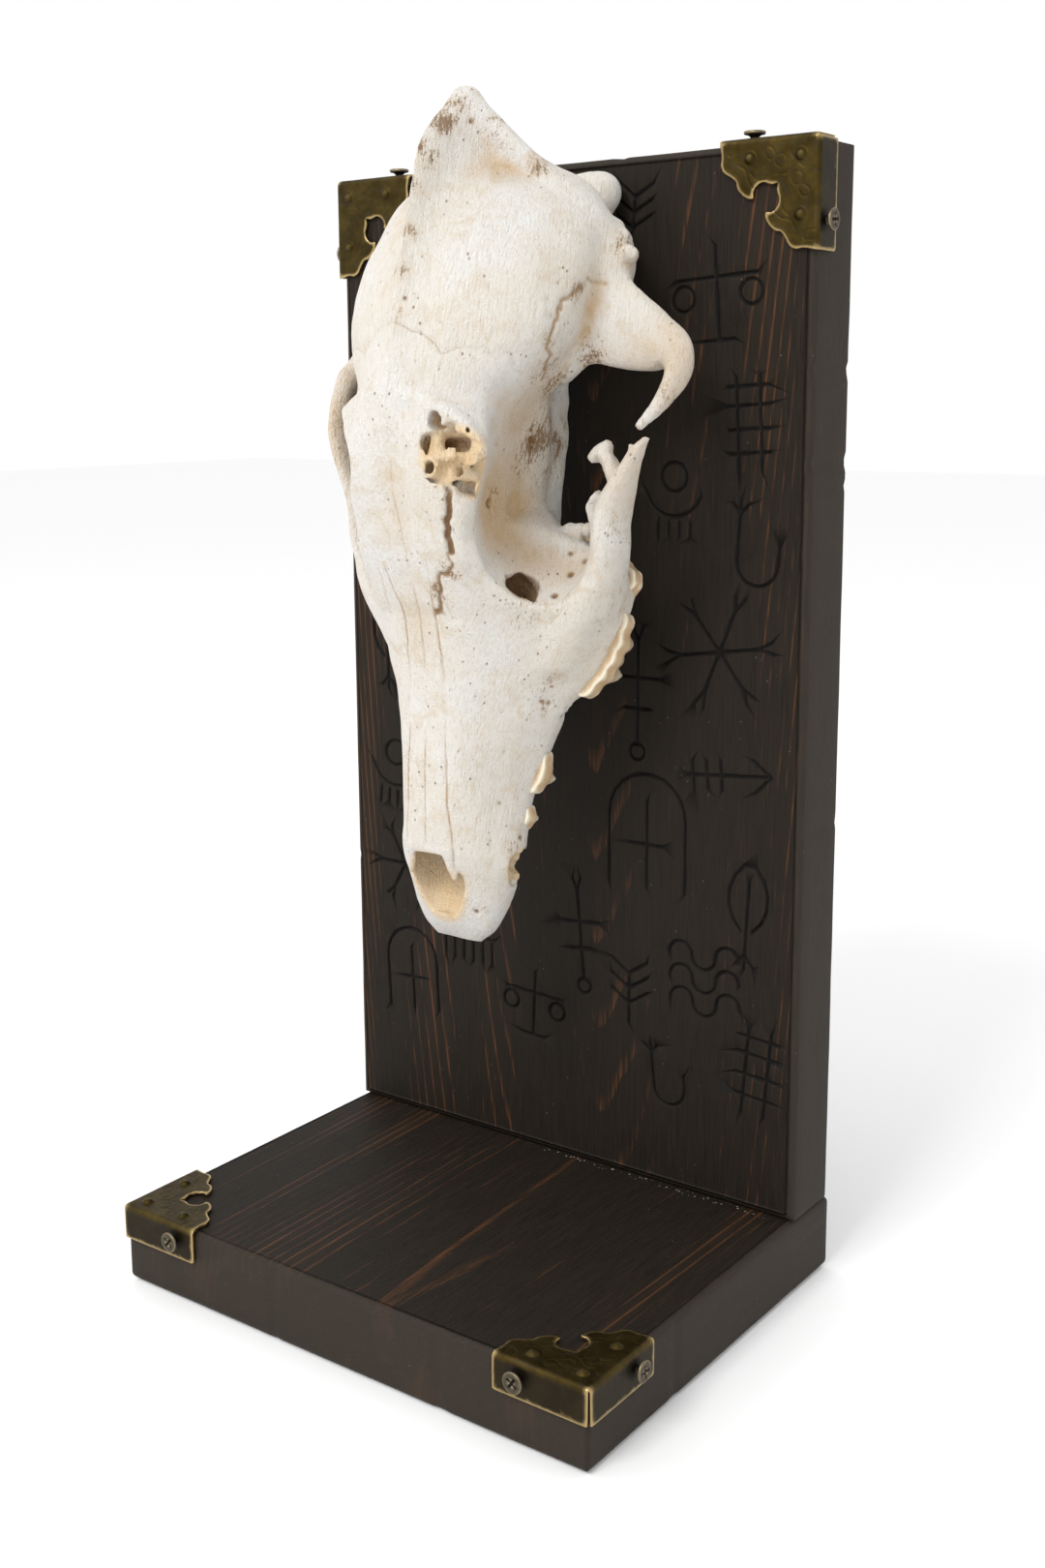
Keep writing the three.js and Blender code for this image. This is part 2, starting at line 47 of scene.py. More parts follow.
# the stand's measures in mm, as on the solids
stand = {
    "width": 140.0,
    "depth": 110.0,
    "thick": 19.5,
    "backHeight": 257.0,
    "eased": 1.8,
}
halfWide = stand["width"] / 2
halfDeep = stand["depth"] / 2
backFace = halfDeep - stand["thick"]
standTop = stand["thick"] + stand["backHeight"]


# camera, at the photograph's place

view = {
    "place": (251.733, -327.326, 222.444),
    "forward": (-0.59320, 0.78400, -0.18291),
    "right": (0.79849, 0.60193, -0.00959),
    "focal": 1798.309,  # in pixels of the frame
    "frame": (1080, 1620),
    "sensor": 36,
    "centre": (503.736, 737.284),
}


def makeCamera():
    data = bpy.data.cameras.new("camera")
    cam = bpy.data.objects.new("camera", data)
    bpy.context.scene.collection.objects.link(cam)
    wide, tall = view["frame"]
    fwd = Vector(view["forward"]).normalized()
    right = Vector(view["right"]).normalized()
    up = right.cross(fwd)
    turn = Matrix((right, up, -fwd)).transposed().to_4x4()
    cam.matrix_world = Matrix.Translation(Vector(view["place"]) * mm) @ turn
    data.sensor_fit = "AUTO"
    data.sensor_width = view["sensor"]
    data.lens = view["focal"] / tall * view["sensor"]
    data.shift_x = (wide / 2 - view["centre"][0]) / tall
    data.shift_y = -(tall / 2 - view["centre"][1]) / tall
    data.clip_start = 0.01
    bpy.context.scene.camera = cam


makeCamera()


# shader building

class Wire:
    def __init__(self, finish, socket):
        self.finish = finish
        self.socket = socket

    def math(self, operation, first, second):
        return self.finish.node("ShaderNodeMath", {"operation": operation}, {0: first, 1: second})

    def __add__(self, other):
        return self.math("ADD", self, other)

    def __radd__(self, other):
        return self.math("ADD", other, self)

    def __sub__(self, other):
        return self.math("SUBTRACT", self, other)

    def __rsub__(self, other):
        return self.math("SUBTRACT", other, self)

    def __mul__(self, other):
        return self.math("MULTIPLY", self, other)

    def __rmul__(self, other):
        return self.math("MULTIPLY", other, self)

    def __truediv__(self, other):
        return self.math("DIVIDE", self, other)

    def __rtruediv__(self, other):
        return self.math("DIVIDE", other, self)

    def __pow__(self, other):
        return self.math("POWER", self, other)


class Finish:
    def __init__(self, name):
        self.mat = bpy.data.materials.new(name)
        self.mat.use_nodes = True
        self.tree = self.mat.node_tree
        self.shader = self.tree.nodes["Principled BSDF"]

    def feed(self, socket, value):
        if isinstance(value, Wire):
            self.tree.links.new(value.socket, socket)
        elif isinstance(value, (tuple, list)) and len(value) == 3 and socket.type == "RGBA":
            socket.default_value = (*value, 1.0)
        else:
            socket.default_value = value

    def node(self, kind, settings=None, sockets=None, out=0):
        made = self.tree.nodes.new(kind)
        for key, value in (settings or {}).items():
            setattr(made, key, value)
        for key, value in (sockets or {}).items():
            self.feed(made.inputs[key], value)
        return Wire(self, made.outputs[out])

    def shade(self, **sockets):
        for key, value in sockets.items():
            self.feed(self.shader.inputs[key.replace("_", " ")], value)

    def mix(self, factor, a, b):
        return self.node("ShaderNodeMix", {"data_type": "RGBA"}, {0: factor, 6: a, 7: b}, 2)

    def step(self, value, low, high):  # 0 at low, 1 at high
        settings = {"interpolation_type": "SMOOTHSTEP"}
        return self.node("ShaderNodeMapRange", settings, {0: value, 1: low, 2: high})

    def place(self):
        return self.node("ShaderNodeTexCoord", out="Object")

    def stretch(self, vector, scale):
        return self.node("ShaderNodeMapping", None, {"Vector": vector, "Scale": scale})

    def noise(self, vector, scale, detail=3.0, rough=0.55, warp=0.0):
        sockets = {"Vector": vector, "Scale": scale, "Detail": detail}
        sockets.update({"Roughness": rough, "Distortion": warp})
        return self.node("ShaderNodeTexNoise", None, sockets)

    def cells(self, vector, scale):
        return self.node("ShaderNodeTexVoronoi", None, {"Vector": vector, "Scale": scale}, "Distance")

    def mask(self, name):
        return self.node("ShaderNodeAttribute", {"attribute_name": name}, None, "Fac")

    def bump(self, height, strength, distance):
        sockets = {"Height": height, "Strength": strength, "Distance": distance}
        return self.node("ShaderNodeBump", None, sockets)


# fields: arrays of signed distance in mm, made into meshes through openvdb

class Block:
    def __init__(self, low, high, step):
        self.step = step
        self.first = np.floor(np.array(low) / step).astype(int)
        self.count = np.ceil(np.array(high) / step).astype(int) - self.first + 1
        axes = [((self.first[i] + np.arange(self.count[i])) * step).astype(np.float32) for i in range(3)]
        self.x, self.y, self.z = np.meshgrid(*axes, indexing="ij", sparse=True)
        self.field = np.full(self.count, 1e3, np.float32)

    def window(self, low, high, pad):
        a = np.clip(np.floor((np.array(low) - pad) / self.step).astype(int) - self.first, 0, self.count)
        b = np.clip(np.ceil((np.array(high) + pad) / self.step).astype(int) - self.first + 1, 0,
                    self.count)
        return tuple(slice(i, j) for i, j in zip(a, b))

    def axes(self, w):
        return self.x[w[0], :, :], self.y[:, w[1], :], self.z[:, :, w[2]]

    def fromMesh(self, points, tris, reach=6.0):
        w = self.window(points.min(0), points.max(0), reach)
        grid = openvdb.FloatGrid.createLevelSetFromPolygons(
            points.astype(np.float32), triangles=tris.astype(np.uint32),
            transform=openvdb.createLinearTransform(voxelSize=self.step), halfWidth=reach / self.step)
        part = np.empty([s.stop - s.start for s in w], np.float32)
        grid.copyToArray(part, ijk=tuple(int(f + s.start) for f, s in zip(self.first, w)))
        return w, part

    def oval(self, centre, radii, reach=6.0):
        c, r = np.array(centre), np.array(radii)
        w = self.window(c - r, c + r, reach)
        x, y, z = self.axes(w)
        x, y, z = x - c[0], y - c[1], z - c[2]
        k0 = np.sqrt((x / r[0]) ** 2 + (y / r[1]) ** 2 + (z / r[2]) ** 2)
        k1 = np.sqrt((x / r[0] ** 2) ** 2 + (y / r[1] ** 2) ** 2 + (z / r[2] ** 2) ** 2)
        return w, k0 * (k0 - 1) / np.maximum(k1, 1e-5)

    def join(self, made, soft):
        w, part = made
        here = self.field[w]
        h = np.maximum(soft - np.abs(here - part), 0) / soft
        self.field[w] = np.minimum(here, part) - h * h * soft / 4

    def cut(self, made, soft):
        w, part = made
        here = self.field[w]
        h = np.maximum(soft - np.abs(here + part), 0) / soft
        self.field[w] = np.maximum(here, -part) + h * h * soft / 4

    def places(self, w):
        return np.stack([a.ravel() for a in np.broadcast_arrays(*self.axes(w))], 1)

    def rough(self, made, size, amount):  # the same form with an uneven surface
        w, part = made
        return w, part + amount * cloudNoise(self.places(w), size).reshape(part.shape)

    def snap(self, points, level=0.0):  # nearest points on the surface, or at a depth below it
        points = np.array(points, np.float32)
        for _ in range(5):
            value = np.clip(self.sample(self.field, points) - level, -3, 3)
            slope = np.stack([self.sample(self.field, points + d) - self.sample(self.field, points - d)
                              for d in np.eye(3, dtype=np.float32) * self.step], 1)
            slope /= np.maximum(np.linalg.norm(slope, axis=1), 1e-6)[:, None]
            points -= slope * value[:, None] * 0.8
        return points

    def fullness(self, reach):  # share of solid within a box of half size reach about each place
        share = (self.field < 0).astype(np.float32)
        n = max(1, round(reach / self.step))
        for _ in range(2):
            for axis in range(3):
                margin = [(n + 1, n) if a == axis else (0, 0) for a in range(3)]
                total = np.cumsum(np.pad(share, margin), axis)
                ahead = np.take(total, np.arange(2 * n + 1, total.shape[axis]), axis)
                behind = np.take(total, np.arange(0, total.shape[axis] - 2 * n - 1), axis)
                share = (ahead - behind) / (2 * n + 1)
        return share

    def near(self, width):
        spot = np.nonzero(np.abs(self.field) < width)
        places = np.stack([(self.first[i] + spot[i]) * self.step for i in range(3)], 1).astype(np.float32)
        return spot, places

    def mesh(self):  # points, triangles and quads of the surface
        grid = openvdb.FloatGrid(9.0)
        grid.transform = openvdb.createLinearTransform(voxelSize=self.step)
        grid.copyFromArray(np.clip(self.field, -3, 3), ijk=tuple(int(f) for f in self.first))
        return grid.convertToPolygons(0.0, 0.0)

    def sample(self, values, points):
        at = points / self.step - self.first
        low = np.clip(np.floor(at).astype(int), 0, self.count - 2)
        f = np.clip(at - low, 0, 1)
        total = np.zeros(len(points), np.float32)
        for i in (0, 1):
            for j in (0, 1):
                for k in (0, 1):
                    share = np.abs(1 - i - f[:, 0]) * np.abs(1 - j - f[:, 1]) * np.abs(1 - k - f[:, 2])
                    total += share * values[low[:, 0] + i, low[:, 1] + j, low[:, 2] + k]
        return total


cloud = rng.random((32, 32, 32)).astype(np.float32)


def cloudNoise(points, size, shift=0.0):  # smooth noise from -1 to 1, one swing in about size mm
    at = points / size + 7.3 + shift
    low = np.floor(at).astype(int)
    f = (at - low).astype(np.float32)
    f = f * f * (3 - 2 * f)
    low %= 32
    up = (low + 1) % 32
    total = np.zeros(len(points), np.float32)
    for i in (0, 1):
        for j in (0, 1):
            for k in (0, 1):
                share = (f[:, 0] if i else 1 - f[:, 0]) * (f[:, 1] if j else 1 - f[:, 1])
                share = share * (f[:, 2] if k else 1 - f[:, 2])
                pick = [(up if n else low)[:, d] for d, n in enumerate((i, j, k))]
                total += share * cloud[pick[0], pick[1], pick[2]]
    return total * 2 - 1


def lineDistance(places, line, reach):  # distance to a bent line, no more than reach
    away = np.full(len(places), reach, np.float32)
    line = np.asarray(line, np.float32)
    about = np.nonzero(np.all((places > line.min(0) - reach) & (places < line.max(0) + reach), 1))[0]
    here = places[about]
    best = away[about]
    for a, b in zip(line[:-1], line[1:]):
        step = b - a
        t = np.clip((here - a) @ step / max(step @ step, 1e-9), 0, 1)
        best = np.minimum(best, np.linalg.norm(here - a - t[:, None] * step, axis=1))
    away[about] = best
    return away


def biggest(points, tris):  # the largest connected piece alone
    label = np.arange(len(points))
    while True:
        low = label[tris].min(1)
        new = label.copy()
        for k in range(3):
            np.minimum.at(new, tris[:, k], low)
        new = new[new]
        if np.array_equal(new, label):
            break
        label = new
    keep = label == np.bincount(label).argmax()
    number = np.cumsum(keep) - 1
    return points[keep], number[tris[keep[tris[:, 0]]]]


def fold(low, high, value):
    t = np.clip((value - low) / (high - low), 0, 1)
    return t * t * (3 - 2 * t)


def throughPoints(points, count):  # smooth curve through the points, even steps from point to point
    p = np.asarray(points, float)
    p = np.vstack([2 * p[0] - p[1], p, 2 * p[-1] - p[-2]])
    t = np.linspace(0, len(p) - 3, count)
    i = np.minimum(t.astype(int), len(p) - 4)
    u = (t - i)[:, None]
    a, b, c, d = p[i], p[i + 1], p[i + 2], p[i + 3]
    pairs = ((a, b), (b, c), (c, d))
    gap = [np.maximum(np.linalg.norm(n - m, axis=1), 1e-6)[:, None] ** 0.5 for m, n in pairs]
    t1 = ((b - a) / gap[0] - (c - a) / (gap[0] + gap[1]) + (c - b) / gap[1]) * gap[1]
    t2 = ((c - b) / gap[1] - (d - b) / (gap[1] + gap[2]) + (d - c) / gap[2]) * gap[1]
    return b + t1 * u + (3 * (c - b) - 2 * t1 - t2) * u ** 2 + (2 * (b - c) + t1 + t2) * u ** 3


def skinOver(rings):  # closed triangles over rings of points
    rings = np.asarray(rings)
    rows, n = rings.shape[:2]
    points = np.vstack([rings.reshape(-1, 3), rings[0].mean(0), rings[-1].mean(0)])
    a = (np.arange(rows - 1)[:, None] * n + np.arange(n)).ravel()
    b = (np.arange(rows - 1)[:, None] * n + (np.arange(n) + 1) % n).ravel()
    tris = [np.stack([a, b, b + n], 1), np.stack([a, b + n, a + n], 1)]
    i = np.arange(n)
    j = (i + 1) % n
    end = (rows - 1) * n
    tris.append(np.stack([j, i, np.full(n, rows * n)], 1))
    tris.append(np.stack([i + end, j + end, np.full(n, rows * n + 1)], 1))
    return points, np.vstack(tris)


def halfLoft(stations, rows=160, columns=48):  # symmetric body over half outlines [s, (x, v), ...]
    lines = [throughPoints([(st[i + 1][0], st[0], st[i + 1][1]) for st in stations], rows)
             for i in range(len(stations[0]) - 1)]
    rings = []
    for r in range(rows):
        half = throughPoints([line[r] for line in lines], columns)
        rings.append(np.vstack([half, half[-2:0:-1] * (-1, 1, 1)]))
    return skinOver(rings)


# bar of oval section along [x, s, v, half width, half height]
def ovalBar(path, side=1, rows=70, sides=28):
    line = throughPoints([p[:3] for p in path], rows) * (side, 1, 1)
    sizes = throughPoints([p[3:] for p in path], rows)
    along = np.gradient(line, axis=0)
    along /= np.linalg.norm(along, axis=1)[:, None]
    across = np.cross(along, (0, 0, 1))
    across /= np.linalg.norm(across, axis=1)[:, None]
    up = np.cross(across, along)
    turn = np.linspace(0, 2 * math.pi, sides, endpoint=False)
    rings = (line[:, None] + across[:, None] * (sizes[:, :1] * np.cos(turn))[:, :, None]
             + up[:, None] * (sizes[:, 1:] * np.sin(turn))[:, :, None])
    return skinOver(rings)


noQuads = np.zeros((0, 4), int)


def meshOf(name, points, tris, quads):
    mesh = bpy.data.meshes.new(name)
    loops = np.concatenate([tris.ravel(), quads.ravel()]).astype(np.int32)
    sizes = np.concatenate([np.full(len(tris), 3), np.full(len(quads), 4)]).astype(np.int32)
    starts = np.concatenate([[0], np.cumsum(sizes)[:-1]]).astype(np.int32)
    mesh.vertices.add(len(points))
    mesh.vertices.foreach_set("co", np.asarray(points, np.float32).ravel())
    mesh.loops.add(len(loops))
    mesh.loops.foreach_set("vertex_index", loops)
    mesh.polygons.add(len(sizes))
    mesh.polygons.foreach_set("loop_start", starts)
    mesh.update(calc_edges=True)
    return mesh


def addPiece(name, points, tris, quads, finish, masks=None, matrix=None, smooth=True):
    mesh = meshOf(name, points, tris, quads)
    mesh.validate()
    for key, values in (masks or {}).items():
        layer = mesh.attributes.new(key, "FLOAT", "POINT")
        layer.data.foreach_set("value", values.astype(np.float32))
    if smooth:
        mesh.polygons.foreach_set("use_smooth", np.ones(len(mesh.polygons), bool))
    piece = bpy.data.objects.new(name, mesh)
    bpy.context.scene.collection.objects.link(piece)
    mesh.materials.append(finish.mat)
    if matrix is not None:
        piece.matrix_world = matrix
    return piece


def thinned(name, points, tris, quads, most, keep=None):  # fewer triangles, finest where keep is 1
    tris = np.vstack([tris, quads[:, [0, 1, 2]], quads[:, [0, 2, 3]]])
    mesh = meshOf(name, points, tris, noQuads)
    work = bpy.data.objects.new(name, mesh)
    bpy.context.scene.collection.objects.link(work)
    change = work.modifiers.new("fewer", "DECIMATE")
    change.ratio = min(1.0, most / len(tris))
    if keep is not None:
        group = work.vertex_groups.new(name="free")
        for level in range(11):
            group.add(np.nonzero(np.round(keep * 10) == level)[0].tolist(), 1 - level / 10, "REPLACE")
        change.vertex_group = group.name
        change.vertex_group_factor = 1.0
    bpy.context.view_layer.update()
    done = bpy.data.meshes.new_from_object(work.evaluated_get(bpy.context.evaluated_depsgraph_get()))
    bpy.data.objects.remove(work)
    bpy.data.meshes.remove(mesh)
    out = np.empty(len(done.vertices) * 3, np.float32)
    done.vertices.foreach_get("co", out)
    loops = np.empty(len(done.loops), np.int32)
    done.loops.foreach_get("vertex_index", loops)
    bpy.data.meshes.remove(done)
    return biggest(out.reshape(-1, 3), loops.reshape(-1, 3))


# skull, in its own axes: x to its left, s from the front of the jaw back, v from the palate up

skull = {
    "tilt": math.radians(15),
    "noseHeight": 91.0,
    "noseOff": 41.0,
    "voxel": 0.5,
    "triangles": 196000,
    "muzzle": [
        [0, (0, 3.4), (2.2, 3.3), (4.2, 3), (5.6, 2.5), (6.4, 1.9), (6.6, 1.2), (6, 0.5), (4.4, -0.1),
         (2.2, -0.3), (0, -0.3)],
        [3, (0, 7), (2.6, 6.9), (5, 6.4), (7.2, 5.5), (8.9, 4.2), (9.8, 2.6), (9.8, 0.8), (8.6, -0.9),
         (4.4, -0.8), (0, -0.2)],
        [8, (0, 11.3), (2.8, 11.1), (5.6, 10.4), (8.4, 9), (10.6, 7), (12, 4.6), (12.4, 1.8), (11.2, -1),
         (6, -0.8), (0, 0.2)],
        [14, (0, 15.6), (3.2, 15.3), (6.4, 14.4), (9.4, 12.4), (11.8, 9.6), (13.8, 6.2), (14.4, 2.6),
         (13, -0.8), (7, -0.2), (0, 1)],
        [20, (0, 19.2), (3.8, 18.9), (7.4, 17.6), (10.6, 15), (13.2, 11.6), (15.4, 7.4), (15.8, 2.8),
         (14.2, -0.6), (8, 0.3), (0, 1.6)],
        [28, (0, 21.6), (4.2, 21.3), (7.8, 19.8), (10.6, 16.8), (13, 12.6), (15, 8), (15.6, 3),
         (14, -0.4), (8, 0.6), (0, 2)],
        [38, (0, 23.9), (4.6, 23.6), (8.2, 22), (10.8, 18.6), (13, 13.8), (15, 8.6), (16.2, 3.2),
         (14.8, -0.4), (9, 1), (0, 2.4)],
        [48, (0, 26.2), (5, 25.9), (8.8, 24.2), (12, 20.4), (15, 15), (17.4, 9.2), (19, 3.4),
         (17.4, -0.4), (10.5, 1.3), (0, 2.8)],
        [58, (0, 28.8), (5.4, 28.5), (9.8, 26.8), (14, 22.4), (18, 16.4), (21.2, 10), (23, 3.8),
         (21.2, -0.4), (13, 1.6), (0, 3.2)],
        [67, (0, 31.6), (5.8, 31.4), (10.6, 29.8), (15.8, 25), (20.8, 18.4), (25, 11.2), (29, 3.6),
         (27.8, -1), (15.5, 1.9), (0, 3.5)],
        [75, (0, 35.2), (6.4, 35.2), (11.8, 33.8), (17.2, 28.8), (23, 21.4), (28.4, 12.8), (32.6, 4),
         (31.6, -1), (17.5, 2.2), (0, 3.8)],
        [82, (0, 39.5), (7.2, 39.8), (13.6, 38), (19, 32.8), (26, 24.4), (32, 14.8), (35, 5),
         (33.8, -0.8), (18.5, 2.4), (0, 4)],
        [88, (0, 43.2), (8, 43.6), (15, 42), (19.6, 36), (26.6, 27), (33.4, 16.5), (35.4, 6), (34, -0.6),
         (18.5, 2.6), (0, 4.2)],
        [94, (0, 45), (7, 45), (13, 43), (16, 36), (21, 26), (30.4, 15.5), (32, 7), (30, 0.4), (18, 3),
         (0, 4.6)],
        [99, (0, 40), (5, 39), (9, 36), (11, 30), (14, 22), (20, 13), (21, 8), (19, 4), (12, 4.4),
         (0, 5.4)],
    ],
    "braincase": [
        [78, (0, 36), (6, 36.2), (11, 34.8), (13, 30), (12.5, 22), (11, 14), (7, 9), (0, 8)],
        [86, (0, 42.6), (7.5, 43.2), (15.2, 41.6), (15.6, 37), (13, 28), (12, 18), (9, 10), (0, 8)],
        [94, (0, 47.6), (8.5, 48.6), (17, 47), (17.6, 43), (13.4, 33), (12.2, 22), (10, 12), (0, 9)],
        [102, (0, 51.6), (9.2, 52.8), (18.6, 51), (20.6, 47.4), (15, 37), (12.8, 24), (12, 12), (0, 10)],
        [109, (0, 54.2), (9.6, 55), (19.6, 53), (23, 49.4), (17, 40), (13.6, 27), (12.6, 12.6), (0, 11)],
        [115, (0, 56), (8, 56), (17, 52.6), (20.5, 47.6), (17.4, 40), (14.8, 28), (13.2, 13), (0, 11.5)],
        [122, (0, 57.4), (5, 56.6), (12.5, 53), (17.4, 47), (18.2, 39), (16.4, 28), (14, 14.4), (0, 12)],
        [130, (0, 58), (4, 57.4), (12, 54.4), (20, 48), (23, 39), (20.6, 28), (14, 17), (0, 12.5)],
        [140, (0, 58), (5, 57.3), (14, 54), (23.4, 46.5), (27.4, 36.5), (25.8, 26), (17, 16.5),
         (0, 12.5)],
        [150, (0, 57), (5, 56.2), (14, 52.8), (24.2, 45), (29, 34.5), (28, 25), (19, 16), (0, 12.5)],
        [160, (0, 54.5), (5, 53.6), (13.5, 50), (23.6, 42), (29, 31.5), (28.6, 23.5), (20, 15.5),
         (0, 12.5)],
        [169, (0, 51.5), (5, 49.8), (12.5, 46), (22, 38.2), (27.6, 29), (27.6, 22.5), (19.5, 14.6),
         (0, 11.4)],
        [177, (0, 50), (4, 46), (9.5, 40), (16.5, 33.4), (21.5, 27.2), (21.5, 21), (15.5, 13.4),
         (0, 9.8)],
        [182, (0, 51), (2.4, 47.6), (5.6, 42.6), (9.6, 38), (11, 34), (9, 31), (5, 29), (0, 28.4)],
        [187, (0, 50), (1.6, 48), (3.4, 45.2), (5, 42.4), (5.2, 40.6), (4, 39), (2.2, 38.2), (0, 38)],
        [191, (0, 47.4), (0.8, 47.2), (1.6, 46.8), (2.2, 46.2), (2.2, 45.6), (1.6, 45), (0.8, 44.6),
         (0, 44.4)],
    ],
    "crest": [
        [114, (0, 56), (1, 55), (1.4, 53), (1.2, 50), (0, 49)],
        [122, (0, 58.3), (1.6, 57.2), (3.2, 54), (3, 48), (0, 46)],
        [132, (0, 59.4), (1.5, 58), (3.6, 54), (3.4, 46), (0, 44)],
        [145, (0, 60.2), (1.4, 58.6), (3.4, 54), (3.4, 44), (0, 42)],
        [158, (0, 60.3), (1.4, 58), (3.2, 51), (3.2, 42), (0, 40)],
        [168, (0, 60), (1.4, 57.4), (3, 49), (3, 42), (0, 40)],
        [175, (0, 59.4), (1.5, 56.6), (3, 49), (3, 42), (0, 40)],
        [182, (0, 56.4), (1.7, 54), (2.8, 49), (2.8, 44), (0, 42)],
        [188, (0, 51.4), (1.7, 50), (2.4, 48), (2.2, 45), (0, 43.6)],
        [192, (0, 47.2), (1, 46.8), (1.4, 46), (1, 45), (0, 44.6)],
    ],
    "nuchalCrest": [(0, 190, 46, 2, 1.8), (6, 185.4, 42.4, 2, 2), (13, 179, 37, 2, 2.2),
                    (20, 173, 31, 2.2, 2.4), (25, 168.4, 26, 2.2, 2.4), (28.6, 164.5, 19.5, 2.4, 2.4)],
    "browRidge": [(0.6, 122.4, 56.4, 1.4, 1.2), (5, 120.3, 55.8, 1.5, 1.4), (10.2, 118.6, 54.6, 1.6, 1.6),
                  (15.2, 116, 52.8, 1.7, 1.8), (19.4, 112.6, 51.4, 1.7, 1.6),
                  (21.6, 108.6, 50, 1.4, 1.2)],
    "cheek": [(22, 70, 10, 4, 5), (30.5, 81, 12, 4.2, 7), (35.4, 92, 14.2, 3.4, 6.6),
              (37, 102, 18, 3, 6), (41.4, 111, 21.2, 1.9, 3.7)],
    "cheekWhole": [(45, 119, 22, 2.2, 3.8), (46.8, 128, 21, 2, 2.6), (47.4, 134, 18.6, 1.4, 1.4)],
    "cheekBroken": [(44.6, 116, 23, 1.2, 2.2), (47.2, 118.6, 24.2, 0.6, 0.9)],
    "prongs": [  # splinters left on the broken cheek bone
        [(39.4, 109.6, 21.4, 2, 2.6), (37.2, 113.2, 22.2, 1.7, 2.2), (35.2, 115.6, 22.8, 1.5, 1.8)],
        [(32.6, 113.8, 22.4, 1, 1.3), (35, 115.8, 22.9, 1.4, 1.6), (37.2, 117.6, 23.4, 1, 1.2)],
        [(43.6, 115, 22.8, 0.9, 1.6), (42.8, 117.4, 23.6, 0.5, 0.6)],
        [(34.4, 99, 17, 2, 3), (32.4, 103.4, 18.6, 1.4, 2.2), (34.4, 106.6, 19.8, 1.2, 1.8)],
    ],
    "arch": [(23, 149, 21, 12, 4), (32, 145.5, 18.6, 9.6, 3.6), (39.6, 142.5, 15.8, 7.2, 3.4),
             (45.2, 140, 14.8, 4.8, 3.4), (48, 134.5, 17.2, 2.3, 3.7), (47.6, 127, 21.4, 1.4, 2.2),
             (45, 120.6, 24.8, 0.8, 1)],
    "pterygoid": [(11.4, 92, 9, 2, 8), (10.2, 104, 9, 1.6, 9), (9.8, 115, 9.6, 1.6, 9.4),
                  (10, 125, 10.6, 1.7, 9),
                  (11, 134, 12.4, 2, 7), (13, 142, 13, 2, 5)],
    "paroccipital": [(23, 165, 17, 4, 3), (22.6, 168, 11, 3.2, 2.6), (21, 169.6, 5.4, 1.5, 1.4)],
    "orbit": ((36, 101, 31), (23, 27, 19)),
    "rightBrow": [(24, 121, 54, 3, 3), (24, 116, 53.5, 9, 9), (24, 105, 53, 12, 12), (23, 94, 48, 10, 10),
                  (21.4, 84, 41.4, 8, 8), (20, 77, 36, 3, 3)],
    "bulla": ((15.5, 152, 7.6), (8.8, 11.5, 8.6)),
    "condyle": ((13, 177.6, 12.2), (7.2, 7, 5.8)),
    "knob": ((16.5, 180.5, 11.2), (4.6, 4.6, 4.6)),
    "mastoid": ((24, 160, 18), (8.6, 9.5, 8)),
    "neckNotch": [(17, 173.8, 11.2, 1.8, 2.2), (20, 172.7, 15.4, 1.8, 2.2), (24.5, 171, 21.6, 1.8, 2.2)],
    "nasalTip": [(5.6, 22, 19, 1.4, 1), (6, 18, 17, 1.3, 0.9), (6.5, 14.6, 15.2, 0.5, 0.5)],
    "gapFillet": ((19.4, 136.4, 21), (3.8, 3.8, 3.8)),
    "orbitFloor": ((12.6, 98.4, 12.6), (5.2, 4.6, 7.6)),
    "mastoidLumps": [(29.8, 166, 20), (27.6, 168.2, 19.6), (33, 161.8, 20)],
    "floorLumps": [(22, 99.5, 11.5), (25, 99.5, 11.6), (28, 99.5, 13)],
    "nose": [
        [6, (0, 20), (3, 19), (5, 16), (5.2, 12.5), (3.6, 9), (0, 7.6)],
        [14, (0, 19.6), (4, 18.8), (6.8, 15.6), (7.6, 11.5), (5.4, 7), (0, 5.2)],
        [22, (0, 18.6), (4.4, 17.8), (7.4, 14.6), (8.4, 10.6), (6, 6.4), (0, 4.8)],
        [34, (0, 18), (3.6, 17), (6, 14), (6.6, 11), (4.8, 8), (0, 7)],
        [42, (0, 14.4), (1, 14), (1.6, 13.4), (1.6, 12.6), (1, 12), (0, 11.6)],
    ],
    # how far each form runs into its neighbours, and the size and height of its unevenness
    "soft": {"muzzle": 1.0, "braincase": 4.0, "crest": 4.0, "orbit": 1.2, "nuchalCrest": 4.0,
             "browRidge": 2.5,
             "pterygoid": 6.0, "paroccipital": 3.0, "bulla": 2.0, "condyle": 3.0, "knob": 2.0,
             "mastoid": 4.0,
             "gapFillet": 6.0, "orbitFloor": 5.0, "floorLumps": 1.5, "neckNotch": 1.0,
             "mastoidLumps": 1.0,
             "rightBrow": 1.5, "prongs": 0.8, "nose": 1.0, "nasalTip": 0.6, "spineHole": 1.2,
             "choana": 1.5,
             "sinus": 0.5, "socketHole": 0.2, "brow": 0.2, "browHole": 0.2, "canine": 0.3,
             "premolarGap": 0.3},
    "uneven": {"browRidge": (3, 0.3), "pterygoid": (5, 0.8), "mastoidLumps": (1.4, 0.5),
               "rightBrow": (5, 0.6),
               "prongs": (1.6, 0.3), "sinus": (3.0, 0.8), "socketHole": (2.0, 1.3), "brow": (4.0, 2.0),
               "browHole": (1.6, 0.3), "canine": (2.0, 1.2), "premolarGap": (1.6, 0.9)},
    "floorLump": (1.6, 1.6, 1.6),
